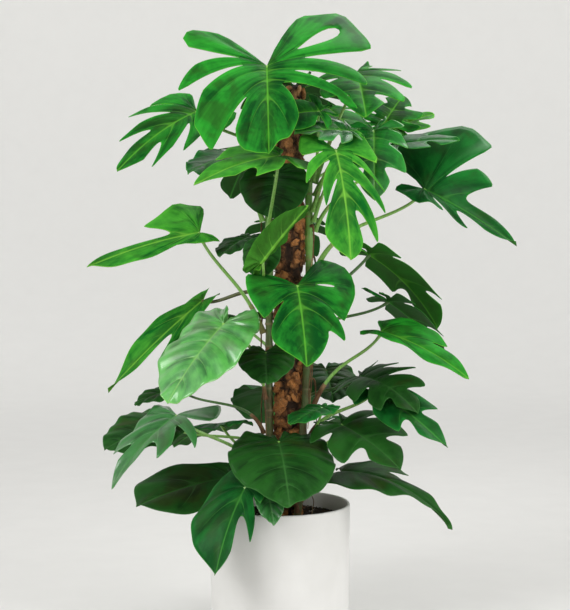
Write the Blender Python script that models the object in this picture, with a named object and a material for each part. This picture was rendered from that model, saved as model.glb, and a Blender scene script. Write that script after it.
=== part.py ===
"""A split-leaf climbing plant trained up a coir pole in a plain round planter.

Metres, +Z up. The origin is the centre of the planter's underside, and -Y is the front.
"""

import math
import random
from collections import namedtuple

import bmesh
import bpy
import numpy as np

# Planter: a plain cylinder that narrows very slightly towards its base
POT_RADIUS = 0.140
POT_BASE_RADIUS = 0.137
POT_HEIGHT = 0.260
POT_WALL = 0.006
POT_FLOOR = 0.010
POT_EDGE = 0.003
POT_SIDES = 48

# Potting mix, a little below the rim
SOIL_LEVEL = 0.238
SOIL_MOUND = 0.004
SOIL_CROWN = 0.080
CLEARANCE = 0.0004

# Coir pole, a little right of the planter's axis
POLE_X = 0.018
POLE_RADIUS = 0.031
POLE_TOP = 1.085
POLE_SIDES = 16
POLE_FOOT = POT_FLOOR + 0.020

# Climbing stems: name, radius, top, and the route as (angle round the pole, height) pairs
STEM_FOOT = 0.190
STEMS = {
    "left": (0.0080, 0.900, ((215, 0.19), (200, 0.35), (188, 0.52), (196, 0.70), (186, 0.90))),
    "right": (0.0080, 0.905, ((292, 0.19), (305, 0.35), (330, 0.52), (352, 0.70), (345, 0.905))),
    "back": (0.0085, 1.030, ((95, 0.19), (85, 0.40), (100, 0.65), (88, 0.85), (100, 1.03))),
}
STEM_SIDES = 8
STEM_STEP = 0.055
STEM_CUT_BELOW = 0.003

# Leaf blades and their stalks
BLADE_THICKNESS = 0.0013
STALK_SIDES = 5
STALK_SPANS = 8
BLADE_ROWS = (0.0, 0.26, 0.62, 1.0)
HOLED_ROWS = (0.0, 0.26, 0.56, 0.84, 1.0)
VEIN_SWEEP = 0.33
UNCUT_SPANS = 4
LOBE_LEAN = 0.75
LOBE_COLUMNS = (-1.0, 0.2, 1.0)
LOBE_HOOK = 1.6
LOBE_POINT = 1.4
CORNER = 0.22
SLIT_KNOT = 0.2
WELD = 0.0003

# Stalks: radius at the blade for no length and for each metre of blade, and how they leave
STALK_THIN = 0.0022
STALK_PER_LENGTH = 0.006
STALK_BASE = 1.15
STALK_TIP = 0.80
STALK_INSET = 0.004
LEAVE_POLE = 0.8
LEAVE_LEAN = 0.35
ARRIVE_UP = 0.6
ARRIVE_REACH = 0.35

# Half of a heart: x in half widths and y in lengths, from the notch round to the tip
HEART = np.array(
    [(0, 0), (0.07, -0.11), (0.30, -0.22), (0.62, -0.20), (0.89, -0.03),
     (1.0, 0.21), (0.95, 0.47), (0.74, 0.71), (0.35, 0.91), (0, 1.0)]
)
# Where lobes lie on a heart, in knots, and where their veins leave the midrib
SHOULDER_KNOT = 1.9
FIRST_LOBE = 2.3
LOBE_SPAN = 5.7
LOBE_END = 0.4
VEINS_FROM = 0.45
VEIN_POWER = 1.45
LOBE_SHIFT = 0.15
LOBE_VARY = 0.06
HEART_SLIT = (0.4, 0.08, 0.2)

# An outline is the basal shoulders, right and left, and then one row for each pair of lobes:
# where its vein leaves the midrib, the right and left tips, and the slit after each lobe.
# A slit begins at a part of the way to the margin and has a width; a third number closes it.
CROWN = [
    ((0.12, -0.11), (0.075, -0.21)),
    (0.00, (0.175, -0.035), (0.165, -0.18), (0.30, 0.30), (0.35, 0.24, 0.82)),
    (0.00, (0.17, 0.105), (0.215, -0.04), (0.28, 0.30), (0.34, 0.30)),
    (0.02, (0.14, 0.19), (0.185, 0.095), None, (0.30, 0.30)),
    (0.05, (0.10, 0.245), (0.15, 0.17), (0.45, 0.24), (0.22, 0.50)),
    (0.10, (0.05, 0.245), (0.045, 0.205), None, None),
]
CENTRE = [
    ((0.085, -0.055), (0.07, -0.11)),
    (0.00, (0.095, 0.02), (0.12, -0.02), None, (0.30, 0.10, 0.62)),
    (0.02, (0.07, 0.09), (0.085, 0.09), (0.45, 0.22), (0.75, 0.16)),
    (0.06, (0.06, 0.14), (0.075, 0.14), None, (0.72, 0.12)),
]
HANG = [
    ((0.05, -0.05), (0.05, -0.05)),
    (0.00, (0.075, 0.02), (0.085, 0.04), (0.35, 0.25), (0.35, 0.25)),
    (0.01, (0.065, 0.08), (0.085, 0.10), (0.30, 0.30), (0.30, 0.30)),
    (0.05, (0.035, 0.135), (0.07, 0.15), (0.30, 0.30), (0.30, 0.30)),
    (0.10, (0.045, 0.18), (0.055, 0.20), None, (0.35, 0.25)),
]
FAR_RIGHT = [
    ((0.040, -0.04), (0.045, -0.12)),
    (0.00, (0.045, 0.03), (0.165, -0.035), None, None),
    (0.01, (0.040, 0.09), (0.145, 0.060), (0.45, 0.20), (0.32, 0.20)),
    (0.05, (0.030, 0.15), (0.055, 0.135), (0.45, 0.25), (0.45, 0.30)),
]
UPPER_LEFT = [
    ((0.08, -0.05), (0.06, -0.05)),
    (0.00, (0.12, 0.04), (0.085, 0.05), (0.40, 0.25), (0.45, 0.20)),
    (0.02, (0.085, 0.115), (0.08, 0.14), (0.35, 0.30), (0.35, 0.30)),
    (0.07, (0.05, 0.175), (0.05, 0.19), (0.40, 0.25), (0.50, 0.20)),
]
LOBED = [
    ((0.055, -0.025), (0.045, -0.075)),
    (0.00, (0.065, 0.02), (0.100, 0.010), None, (0.30, 0.35)),
    (0.015, (0.060, 0.08), (0.100, 0.080), None, (0.35, 0.35)),
    (0.06, (0.040, 0.15), (0.050, 0.135), (0.55, 0.20), (0.40, 0.30)),
]
POT_FRONT = [
    ((0.05, -0.05), (0.03, -0.04)),
    (0.00, (0.08, 0.06), (0.055, 0.055), None, (0.50, 0.30)),
    (0.03, (0.065, 0.13), (0.05, 0.13), None, (0.40, 0.30)),
]
LOW_LEFT = [
    ((0.04, -0.04), (0.05, -0.03)),
    (0.00, (0.070, 0.05), (0.070, 0.05), None, None),
    (0.075, (0.070, 0.17), (0.065, 0.14), None, None),
]
LEFT = [
    ((0.075, -0.045), (0.03, -0.03)),
    (0.00, (0.085, 0.02), (0.030, 0.05), None, None),
    (0.03, (0.036, 0.13), (0.030, 0.15), (0.30, 0.40), None),
]
LEFT_EDGE = [
    ((0.015, -0.03), (0.02, -0.03)),
    (0.00, (0.028, 0.05), (0.030, 0.07), None, (0.60, 0.20)),
    (0.05, (0.032, 0.15), (0.035, 0.18), None, (0.40, 0.30)),
]
LIGHT = [
    ((0.04, -0.04), (0.05, -0.05)),
    (0.00, (0.07, 0.04), (0.085, 0.05), None, (0.35, 0.30)),
    (0.04, (0.05, 0.13), (0.05, 0.12), (0.60, 0.20), (0.60, 0.20)),
]
TAIL = [
    ((0.05, -0.04), (0.05, -0.04)),
    (0.00, (0.085, 0.04), (0.080, 0.05), None, None),
    (0.04, (0.050, 0.115), (0.055, 0.13), None, (0.60, 0.20)),
    (0.10, (0.022, 0.18), (0.022, 0.19), None, None),
]
RIGHT_LIGHT = [
    ((0.03, -0.03), (0.05, -0.04)),
    (0.00, (0.040, 0.04), (0.080, 0.04), None, None),
    (0.05, (0.030, 0.13), (0.055, 0.13), None, (0.60, 0.16)),
]

# name: node; at: where the stalk meets the blade; aim: heading, pitch down and roll in degrees;
# size: length and width; bend: droop along the midrib; cross: fold at the midrib and curl to
# the margin; outline: rows as above, or a number of lobe pairs on a heart (0 is uncut);
# seed: varies those; back: lengthens the basal lobes; stem: which stem and how high on it;
# rise: how far the stalk climbs beside the stem before it leaves
Leaf = namedtuple(
    "Leaf",
    "name at aim size bend cross outline stem seed back rise",
    defaults=(0, 1.0, 0.45),
)
LEAVES = (
    Leaf("leaf_crown", (-0.025, -0.07, 1.12), (-88, 48, 0), (0.24, 0.44), 20, (20, -40),
         CROWN, ("back", 1.00)),
    Leaf("leaf_right_behind", (0.152, 0.035, 1.118), (-86, 32, 0), (0.19, 0.21), 20, (8, -30),
         4, ("right", 0.895), 6, 1.5, 0.8),
    Leaf("leaf_upper_left", (-0.165, 0.03, 1.04), (-140, 33, 26), (0.23, 0.24), 30, (6, -25),
         UPPER_LEFT, ("back", 0.91)),
    Leaf("leaf_finger", (-0.070, -0.005, 0.95), (-119, 11, 12), (0.21, 0.10), 20, (10, -15),
         0, ("left", 0.82), 5),
    Leaf("leaf_upright", (0.21, 0.115, 1.015), (60, -35, -20), (0.12, 0.15), 20, (6, -25),
         4, ("back", 0.86), 7),
    Leaf("leaf_far_right", (0.283, -0.02, 0.885), (-38, 28, -38), (0.235, 0.30), 15, (22, -18),
         FAR_RIGHT, ("right", 0.72)),
    Leaf("leaf_right_back", (0.225, 0.0, 0.97), (-8, -4, -20), (0.13, 0.13), 20, (10, -20),
         3, ("right", 0.80), 9),
    Leaf("leaf_hanging", (0.105, -0.158, 0.955), (-76, 64, 0), (0.23, 0.19), 30, (6, -30),
         HANG, ("right", 0.84)),
    Leaf("leaf_glossy", (0.182, -0.055, 0.998), (-92, 60, 0), (0.16, 0.14), 25, (8, -20),
         4, ("right", 0.87), 11),
    Leaf("leaf_light", (0.002, -0.13, 0.945), (-138, 16, 22), (0.22, 0.16), 25, (8, -20),
         LIGHT, ("left", 0.74), rise=0.2),
    Leaf("leaf_middle", (0.078, -0.080, 1.032), (-168, 12, 34), (0.12, 0.14), 25, (8, -20),
         3, ("right", 0.90), 13),
    Leaf("leaf_cluster", (0.132, -0.115, 0.992), (-165, 4, 26), (0.11, 0.12), 25, (8, -20),
         4, ("right", 0.82), 51),
    Leaf("leaf_cluster_back", (0.10, 0.10, 1.05), (-60, 35, 0), (0.14, 0.14), 25, (8, -20),
         3, ("back", 0.93), 52, 1.3),
    Leaf("leaf_behind_upright", (0.235, 0.15, 1.01), (20, -20, -20), (0.10, 0.12), 20, (8, -20),
         3, ("back", 0.83), 53),
    Leaf("leaf_shade", (-0.010, -0.044, 0.915), (-105, 86, 0), (0.09, 0.14), 25, (8, -20),
         0, ("left", 0.84), 14),
    Leaf("leaf_left", (-0.155, -0.05, 0.80), (-155, 16, 42), (0.24, 0.17), 20, (10, -30),
         LEFT, ("left", 0.60)),
    Leaf("leaf_small_dark", (-0.062, 0.03, 0.79), (-122, 20, 0), (0.11, 0.08), 20, (8, -20),
         0, ("left", 0.69), 16),
    Leaf("leaf_heart_dark", (-0.034, -0.064, 0.775), (-110, 80, 0), (0.066, 0.08), 20, (8, -20),
         0, ("left", 0.68), 17),
    Leaf("leaf_young", (-0.035, -0.115, 0.742), (-42, -42, 20), (0.16, 0.07), 10, (40, 0),
         0, ("left", 0.65), 18),
    Leaf("leaf_centre", (0.033, -0.12, 0.70), (-82, 50, 0), (0.19, 0.24), 30, (8, -35),
         CENTRE, ("right", 0.60)),
    Leaf("leaf_glossy_heart", (-0.106, -0.12, 0.628), (-133, 44, 8), (0.205, 0.175), 20, (5, -20),
         0, ("left", 0.52), 20),
    Leaf("leaf_left_edge", (-0.154, 0.02, 0.664), (-150, 40, 34), (0.27, 0.10), 15, (14, -30),
         LEFT_EDGE, ("left", 0.66)),
    Leaf("leaf_right_dark", (0.177, 0.02, 0.758), (37, 40, 0), (0.25, 0.20), 30, (8, -20),
         3, ("right", 0.62), 22),
    Leaf("leaf_right_dark_low", (0.218, 0.05, 0.662), (36, 42, 0), (0.20, 0.16), 30, (8, -20),
         3, ("back", 0.55), 23),
    Leaf("leaf_right_light", (0.199, -0.02, 0.605), (-38, 22, -14), (0.22, 0.16), 25, (14, -30),
         RIGHT_LIGHT, ("right", 0.44), rise=0.6),
    Leaf("leaf_small_centre", (-0.027, -0.08, 0.569), (-88, 33, 0), (0.10, 0.11), 25, (8, -20),
         0, ("left", 0.47), 25),
    Leaf("leaf_front_heart", (-0.002, -0.10, 0.398), (-82, 34, 0), (0.18, 0.205), 30, (6, -25),
         0, ("left", 0.33), 26),
    Leaf("leaf_front_small", (0.085, -0.085, 0.462), (-140, 18, 0), (0.09, 0.09), 20, (8, -20),
         0, ("right", 0.36), 27),
    Leaf("leaf_lobed", (-0.200, -0.08, 0.447), (-133, 36, 6), (0.21, 0.24), 30, (6, -30),
         LOBED, ("left", 0.30)),
    Leaf("leaf_left_small", (-0.200, 0.01, 0.490), (-158, 18, 14), (0.10, 0.07), 20, (8, -20),
         0, ("left", 0.40), 54),
    Leaf("leaf_far_left", (-0.232, 0.02, 0.42), (-150, 20, 20), (0.14, 0.14), 20, (8, -20),
         0, ("back", 0.31), 29),
    Leaf("leaf_low_left", (-0.10, 0.0, 0.312), (-160, 14, 24), (0.20, 0.13), 20, (8, -20),
         LOW_LEFT, ("left", 0.27)),
    Leaf("leaf_pot_front", (-0.066, -0.13, 0.315), (-117, 52, 0), (0.19, 0.17), 30, (6, -20),
         POT_FRONT, ("left", 0.25)),
    Leaf("leaf_pot_small", (-0.026, -0.12, 0.318), (-79, 40, 0), (0.10, 0.06), 20, (8, -20),
         0, ("right", 0.25), 32),
    Leaf("leaf_lower_right", (0.16, 0.015, 0.512), (-50, 20, -22), (0.18, 0.17), 50, (8, -20),
         5, ("back", 0.43), 33),
    Leaf("leaf_lower_right_slim", (0.184, -0.02, 0.487), (-48, 25, -22), (0.22, 0.12), 25,
         (8, -20), 3, ("right", 0.39), 37),
    Leaf("leaf_round", (0.095, 0.135, 0.515), (-80, 38, 0), (0.10, 0.12), 20, (8, -20),
         0, ("back", 0.40), 34),
    Leaf("leaf_right_wide", (0.120, -0.050, 0.425), (-44, 26, -14), (0.17, 0.20), 25, (8, -20),
         3, ("right", 0.30), 35),
    Leaf("leaf_tail", (0.122, -0.02, 0.326), (-28, 22, -10), (0.265, 0.14), 60, (8, -20),
         TAIL, ("right", 0.28)),
    Leaf("leaf_back_top", (0.03, 0.13, 1.10), (84, 35, 0), (0.22, 0.24), 35, (8, -30),
         4, ("back", 1.02), 41, 1.4),
    Leaf("leaf_back_left_high", (-0.05, 0.14, 0.97), (112, 32, 0), (0.19, 0.18), 30, (8, -25),
         3, ("back", 0.80), 42),
    Leaf("leaf_back_middle", (0.02, 0.15, 0.82), (96, 35, 0), (0.21, 0.18), 30, (8, -25),
         4, ("back", 0.68), 43),
    Leaf("leaf_back_left_middle", (-0.08, 0.12, 0.62), (128, 32, 0), (0.19, 0.18), 30, (8, -25),
         3, ("back", 0.50), 44),
    Leaf("leaf_back_low", (-0.01, 0.15, 0.47), (92, 32, 0), (0.20, 0.19), 30, (8, -25),
         0, ("back", 0.36), 45),
    Leaf("leaf_back_low_right", (0.15, 0.13, 0.41), (70, 25, 0), (0.18, 0.17), 30, (8, -25),
         3, ("back", 0.28), 46),
    Leaf("leaf_back_low_left", (-0.12, 0.12, 0.40), (132, 22, 0), (0.18, 0.17), 30, (8, -25),
         0, ("back", 0.24), 47),
)


def clear_scene():
    for obj in list(bpy.data.objects):
        bpy.data.objects.remove(obj, do_unlink=True)


def material(name, colour, roughness, metallic=0.0):
    mat = bpy.data.materials.new(name)
    mat.use_nodes = True
    shader = mat.node_tree.nodes["Principled BSDF"]
    shader.inputs["Base Color"].default_value = (*colour, 1.0)
    shader.inputs["Roughness"].default_value = roughness
    shader.inputs["Metallic"].default_value = metallic
    return mat


def object_from(name, bm, mat, sharp_angle=None):
    bmesh.ops.recalc_face_normals(bm, faces=bm.faces)
    mesh = bpy.data.meshes.new(name)
    bm.to_mesh(mesh)
    bm.free()
    mesh.materials.append(mat)
    if sharp_angle is not None:
        mesh.shade_smooth()
        mesh.set_sharp_from_angle(angle=math.radians(sharp_angle))
    obj = bpy.data.objects.new(name, mesh)
    bpy.context.scene.collection.objects.link(obj)
    return obj


def hide(obj):
    obj.hide_render = True
    obj.display_type = "WIRE"


def boolean(obj, other, operation):
    modifier = obj.modifiers.new(f"{operation.title()} {other.name}", "BOOLEAN")
    modifier.operation = operation
    modifier.object = other
    hide(other)


def spline(knots, places):
    """A smooth curve through the knots, read at places counted in knots."""
    last = len(knots) - 1
    x = np.clip(places, 0, last)
    i = np.minimum(x.astype(int), last - 1)
    f = (x - i)[..., None]
    p1, p2 = knots[i], knots[i + 1]
    p0 = np.where((i > 0)[..., None], knots[np.maximum(i - 1, 0)], 2 * p1 - p2)
    p3 = np.where((i < last - 1)[..., None], knots[np.minimum(i + 2, last)], 2 * p2 - p1)
    cubic = (3 * p1 - p0 - 3 * p2 + p3) * f**3
    return 0.5 * (2 * p1 + (p2 - p0) * f + (2 * p0 - 5 * p1 + 4 * p2 - p3) * f**2 + cubic)


def turned(profile, sides):
    """A closed surface turned about Z from a profile that starts and ends on the axis."""
    bm = bmesh.new()
    rings = []
    for radius, height in profile:
        if radius == 0:
            rings.append([bm.verts.new((0, 0, height))])
            continue
        turns = [2 * math.pi * k / sides for k in range(sides)]
        ring = [bm.verts.new((radius * math.cos(a), radius * math.sin(a), height)) for a in turns]
        rings.append(ring)
    for low, high in zip(rings, rings[1:]):
        for k in range(sides):
            corners = [low[k % len(low)], low[(k + 1) % len(low)]]
            corners += [high[(k + 1) % len(high)], high[k % len(high)]]
            bm.faces.new(list(dict.fromkeys(corners)))
    return bm


def tube(points, radii, sides):
    """A closed tube along points, with its rings kept square to the route."""
    points = [np.array(p, float) for p in points]
    bm = bmesh.new()
    rings = []
    across = None
    for k, point in enumerate(points):
        along = points[min(k + 1, len(points) - 1)] - points[max(k - 1, 0)]
        along /= np.linalg.norm(along)
        if across is None:
            across = np.cross(along, (0.3, 0.9, 0.2))
        across = across - along * np.dot(across, along)
        across /= np.linalg.norm(across)
        other = np.cross(along, across)
        ring = []
        for j in range(sides):
            turn = 2 * math.pi * j / sides
            offset = across * math.cos(turn) + other * math.sin(turn)
            ring.append(bm.verts.new(point + offset * radii[k]))
        rings.append(ring)
    for low, high in zip(rings, rings[1:]):
        for j in range(sides):
            bm.faces.new((low[j], low[(j + 1) % sides], high[(j + 1) % sides], high[j]))
    bm.faces.new(rings[0][::-1])
    bm.faces.new(rings[-1])
    return bm


def stem_point(stem, height):
    """A point on a stem's axis: the stem hugs the pole as it climbs."""
    radius, top, route = STEMS[stem]
    heights = [h for _, h in route]
    angle = math.radians(float(np.interp(height, heights, [a for a, _ in route])))
    away = POLE_RADIUS + radius + CLEARANCE * 3
    return np.array((POLE_X + away * math.cos(angle), away * math.sin(angle), height))


def frame(aim):
    """Directions along the midrib, to the blade's right, and out of its upper face."""
    heading, pitch, roll = (math.radians(a) for a in aim)
    along = np.array(
        (math.cos(pitch) * math.cos(heading), math.cos(pitch) * math.sin(heading), -math.sin(pitch))
    )
    level = np.array((math.sin(heading), -math.cos(heading), 0.0))
    up = np.cross(level, along)
    right = math.cos(roll) * level + math.sin(roll) * up
    return along, right, np.cross(right, along)


def on_blade(leaf, x, y):
    """Points of the curved blade for flat leaf positions x across and y along."""
    along, right, up = frame(leaf.aim)
    length, width = leaf.size
    turn = math.radians(leaf.bend) / length
    start = -math.radians(leaf.bend) / 2
    angle = start + turn * y
    forward = (np.sin(angle) - math.sin(start)) / turn
    raised = (np.cos(angle) - math.cos(start)) / turn
    spine = forward[..., None] * along + raised[..., None] * up
    normal = np.sin(angle)[..., None] * along + np.cos(angle)[..., None] * up
    fold = math.radians(leaf.cross[0])
    curl = math.radians(leaf.cross[1] or 1) / (width / 2)
    edge = fold + curl * np.abs(x)
    out = np.sign(x) * (np.sin(edge) - math.sin(fold)) / curl
    lift = (math.cos(fold) - np.cos(edge)) / curl
    return np.array(leaf.at) + spine + out[..., None] * right + lift[..., None] * normal


def vein_start(place, length):
    """Where on the midrib the vein to a part of the way round a heart begins."""
    return length * np.maximum(0, (place - VEINS_FROM) / (1 - VEINS_FROM)) ** VEIN_POWER


def heart_outline(leaf):
    """Rows for a heart-shaped blade with a number of pairs of lobes."""
    length, width = leaf.size
    chance = random.Random(leaf.seed)
    begin, vary, gap = HEART_SLIT
    first = spline(HEART, np.array(SHOULDER_KNOT)) * (width / 2, length * leaf.back)
    rows = [(tuple(first), tuple(first))]
    for k in range(leaf.outline):
        place = FIRST_LOBE + LOBE_SPAN * k / (leaf.outline - LOBE_END)
        place += chance.uniform(-LOBE_SHIFT, LOBE_SHIFT)
        x, y = spline(HEART, np.array(place)) * (width / 2, length)
        y *= leaf.back if y < 0 else 1
        vein = vein_start(place / (len(HEART) - 1), length)
        tips = [(x * (1 + chance.uniform(-LOBE_VARY, LOBE_VARY)), y) for _ in range(2)]
        slits = [(begin + chance.uniform(-vary, vary), gap) for _ in range(2)]
        rows.append((vein, *tips, *slits))
    return rows


def half_outline(leaf, side):
    """Margin knots (x, y, where the vein starts), lobe limits and slits of one half."""
    length, width = leaf.size
    if leaf.outline == 0:
        knots = HEART * (width / 2, length)
        knots[:, 1] *= np.where(knots[:, 1] < 0, leaf.back, 1)
        veins = vein_start(np.arange(len(HEART)) / (len(HEART) - 1), length)
        return np.column_stack([knots, veins]), [0, len(HEART) - 1], []
    rows = leaf.outline if isinstance(leaf.outline, list) else heart_outline(leaf)
    knots = [(0, 0, 0), (*rows[0][side], 0)]
    knots += [(*row[1 + side], row[0]) for row in rows[1:]] + [(0, length, length)]
    limits = [0] + [2 + k + SLIT_KNOT for k in range(len(rows) - 1)] + [len(knots) - 1]
    return np.array(knots, float), limits, [row[3 + side] for row in rows[1:]]


def opening(slit, s):
    """How far a slit has opened, in knots, at parts s of the way to the margin."""
    if slit is None:
        return 0 * s
    begin, gap = slit[:2]
    if len(slit) == 3:
        middle, half = (begin + slit[2]) / 2, (slit[2] - begin) / 2
        return gap * np.sqrt(np.clip(1 - ((s - middle) / half) ** 2, 0, 1))
    return gap * np.sqrt(np.clip((s - begin) / (1 - begin), 0, 1))


def rounding(slit, s):
    """How much of a lobe's corner is cut away beside an open slit."""
    if slit is None or len(slit) == 3:
        return 0 * s
    return CORNER * np.clip((s - slit[0]) / (1 - slit[0]), 0, 1)


def lobe_grids(leaf, side, columns, rows):
    """World points of each lobe of one half of the blade, as columns by rows."""
    knots, limits, slits = half_outline(leaf, side)
    t = np.array(columns)[:, None]
    if not slits:
        t = np.linspace(-1, 1, UNCUT_SPANS * (len(columns) - 1) + 1)[:, None]
    s = np.array(rows)[None, :]
    grids = []
    for k in range(len(limits) - 1):
        before = slits[k - 1] if k else None
        after = slits[k] if k < len(slits) else None
        low = limits[k] + opening(before, s)
        high = limits[k + 1] - opening(after, s)
        place = (low + high) / 2 + t * (high - low) / 2
        lean = (t - LOBE_LEAN) / np.where(t > LOBE_LEAN, LOBE_HOOK * (1 - LOBE_LEAN), 1 + LOBE_LEAN)
        cut = np.where(t > LOBE_LEAN, rounding(after, s), rounding(before, s))
        part = s * (1 - cut * np.abs(lean) ** LOBE_POINT)
        margin = spline(knots, place)
        mx, my, vein = margin[..., 0], margin[..., 1], margin[..., 2].clip(0, leaf.size[0])
        bow = vein + (0.5 - VEIN_SWEEP) * (my - vein)
        x = part * (1 - part) * mx + part**2 * mx
        y = (1 - part) ** 2 * vein + 2 * part * (1 - part) * bow + part**2 * my
        grids.append(on_blade(leaf, x if side == 0 else -x, y))
    return grids


def blade_rows(leaf):
    slits = half_outline(leaf, 0)[2] + half_outline(leaf, 1)[2]
    return HOLED_ROWS if any(slit and len(slit) == 3 for slit in slits) else BLADE_ROWS


def blade(leaf):
    bm = bmesh.new()
    for side in (0, 1):
        for grid in lobe_grids(leaf, side, LOBE_COLUMNS, blade_rows(leaf)):
            verts = [[bm.verts.new(p) for p in column] for column in grid]
            for i in range(len(verts) - 1):
                for j in range(len(verts[0]) - 1):
                    quad = (verts[i][j], verts[i][j + 1], verts[i + 1][j + 1], verts[i + 1][j])
                    bm.faces.new(quad if side == 0 else quad[::-1])
    bmesh.ops.remove_doubles(bm, verts=bm.verts, dist=WELD)
    return bm


def stalk_route(leaf):
    """The leaf stalk: it climbs beside its stem, arches over and meets the blade from below."""
    along, _, up = frame(leaf.aim)
    stem, height = leaf.stem
    radius = STEMS[stem][0]
    axis = stem_point(stem, height)
    end = np.array(leaf.at) + along * STALK_INSET + up * CLEARANCE
    out = end - axis
    from_pole = axis - np.array((POLE_X, 0, height))
    out[2] = 0
    out = out / np.linalg.norm(out) + LEAVE_POLE * from_pole / np.linalg.norm(from_pole)
    out /= np.linalg.norm(out)
    thick = stalk_radius(leaf)
    start = axis + out * (radius + thick + CLEARANCE)
    reach = np.linalg.norm(end - start)
    chord = (end - start) / reach
    rise = np.array((0, 0, 1.0)) + LEAVE_LEAN * out
    rise /= np.linalg.norm(rise)
    arrive = chord + ARRIVE_UP * up
    arrive /= np.linalg.norm(arrive)
    p1 = start + rise * reach * leaf.rise
    p2 = end - arrive * reach * ARRIVE_REACH
    f = np.linspace(0, 1, STALK_SPANS + 1)[:, None]
    return (1 - f) ** 3 * start + 3 * f * (1 - f) ** 2 * p1 + 3 * f**2 * (1 - f) * p2 + f**3 * end


def stalk_radius(leaf):
    return STALK_THIN + STALK_PER_LENGTH * leaf.size[0]


def make_leaf(leaf, mat):
    obj = object_from(leaf.name, blade(leaf), mat)
    obj.data.shade_smooth()
    solid = obj.modifiers.new("Blade thickness", "SOLIDIFY")
    solid.thickness = BLADE_THICKNESS
    solid.offset = -1
    route = stalk_route(leaf)
    radii = stalk_radius(leaf) * np.linspace(STALK_BASE, STALK_TIP, STALK_SPANS + 1)
    boolean(obj, object_from(f"{leaf.name}_stalk", tube(route, radii, STALK_SIDES), mat), "UNION")
    return obj


def make_pot():
    outer, foot = POT_RADIUS, POT_BASE_RADIUS
    profile = [
        (0, 0), (foot - POT_EDGE, 0), (foot, POT_EDGE), (outer, POT_HEIGHT - POT_EDGE),
        (outer - POT_EDGE / 2, POT_HEIGHT), (outer - POT_WALL + POT_EDGE / 2, POT_HEIGHT),
        (outer - POT_WALL, POT_HEIGHT - POT_EDGE / 2), (foot - POT_WALL, POT_FLOOR), (0, POT_FLOOR),
    ]
    white = material("Satin white", (0.82, 0.82, 0.80), 0.35)
    return object_from("pot", turned(profile, POT_SIDES), white, 40)


def inner_radius(height):
    share = (height - POT_FLOOR) / (POT_HEIGHT - POT_FLOOR)
    return POT_BASE_RADIUS + (POT_RADIUS - POT_BASE_RADIUS) * share - POT_WALL


def pole_solid(name, extra, mat):
    profile = [(0, POLE_FOOT - extra), (POLE_RADIUS + extra, POLE_FOOT - extra)]
    profile += [(POLE_RADIUS + extra, POLE_TOP), (0, POLE_TOP)]
    bm = turned(profile, POLE_SIDES)
    bmesh.ops.translate(bm, verts=bm.verts, vec=(POLE_X, 0, 0))
    return object_from(name, bm, mat, 40)


def stem_solid(name, stem, extra, mat):
    radius, top, _ = STEMS[stem]
    count = round((top - STEM_FOOT) / STEM_STEP)
    heights = np.linspace(STEM_FOOT, top, count + 1)
    route = [stem_point(stem, h) for h in heights]
    if extra:
        route = [route[0] - (0, 0, STEM_CUT_BELOW)] + route
    return object_from(name, tube(route, [radius + extra] * len(route), STEM_SIDES), mat, 60)


def make_soil(mat):
    floor = POT_FLOOR + CLEARANCE
    edge = SOIL_LEVEL - SOIL_MOUND
    profile = [
        (0, floor), (inner_radius(floor) - CLEARANCE, floor), (inner_radius(edge) - CLEARANCE, edge),
        (SOIL_CROWN, SOIL_LEVEL - SOIL_MOUND / 4), (0, SOIL_LEVEL),
    ]
    soil = object_from("soil", turned(profile, POT_SIDES), mat, 40)
    boolean(soil, pole_solid("soil_cut_pole", CLEARANCE, mat), "DIFFERENCE")
    for stem in STEMS:
        boolean(soil, stem_solid(f"soil_cut_{stem}", stem, CLEARANCE, mat), "DIFFERENCE")


def make_all():
    clear_scene()
    make_pot()
    make_soil(material("Potting mix", (0.035, 0.022, 0.014), 0.95))
    pole_solid("coir_pole", 0, material("Coir", (0.20, 0.09, 0.035), 0.95))
    bark = material("Climbing stem", (0.16, 0.20, 0.06), 0.6)
    for stem in STEMS:
        stem_solid(f"stem_{stem}", stem, 0, bark)
    green = material("Leaf", (0.02, 0.16, 0.03), 0.35)
    for leaf in LEAVES:
        make_leaf(leaf, green)


make_all()
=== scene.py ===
# %% [markdown]
# # A split-leaf climber in a white planter
# The real thing is a monstera that has been tied to a coir pole while it grew. It has big glossy
# leaves with deep slits, thin arching stalks, three climbing stems, a rough brown pole, dark
# potting mix and a plain white planter. This lesson builds each of them around a fixed CAD frame:
# the frame gives every piece its place, and the cells below give it its looks.

# %% Load the frame
import math
import random
from collections import namedtuple

import bmesh
import bpy
import numpy as np
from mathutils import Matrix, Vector


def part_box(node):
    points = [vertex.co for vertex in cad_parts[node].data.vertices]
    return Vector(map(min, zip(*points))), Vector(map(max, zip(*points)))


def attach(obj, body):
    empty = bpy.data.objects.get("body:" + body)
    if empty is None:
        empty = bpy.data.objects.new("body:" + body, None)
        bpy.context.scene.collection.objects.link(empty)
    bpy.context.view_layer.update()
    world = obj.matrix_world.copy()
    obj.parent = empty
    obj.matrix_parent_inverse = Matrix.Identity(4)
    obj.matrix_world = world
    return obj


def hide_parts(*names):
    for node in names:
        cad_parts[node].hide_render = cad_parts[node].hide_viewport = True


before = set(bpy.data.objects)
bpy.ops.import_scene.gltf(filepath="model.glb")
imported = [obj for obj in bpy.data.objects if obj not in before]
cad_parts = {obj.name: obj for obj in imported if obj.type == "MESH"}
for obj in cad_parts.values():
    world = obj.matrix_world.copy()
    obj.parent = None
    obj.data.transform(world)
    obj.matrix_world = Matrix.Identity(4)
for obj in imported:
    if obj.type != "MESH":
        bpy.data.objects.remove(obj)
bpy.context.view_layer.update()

# %% [markdown]
# ## Camera
# A tall plant is usually looked at from a little above its middle. A long lens from about three
# metres keeps the upright lines of the pole and planter straight, as a studio picture would.

# %% Camera
CAMERA_PLACE = Vector((0.01, -2.95, 0.825))
CAMERA_TARGET = Vector((0.01, 0.0, 0.655))
LENS = 87.9
SENSOR = 36.0


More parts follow.
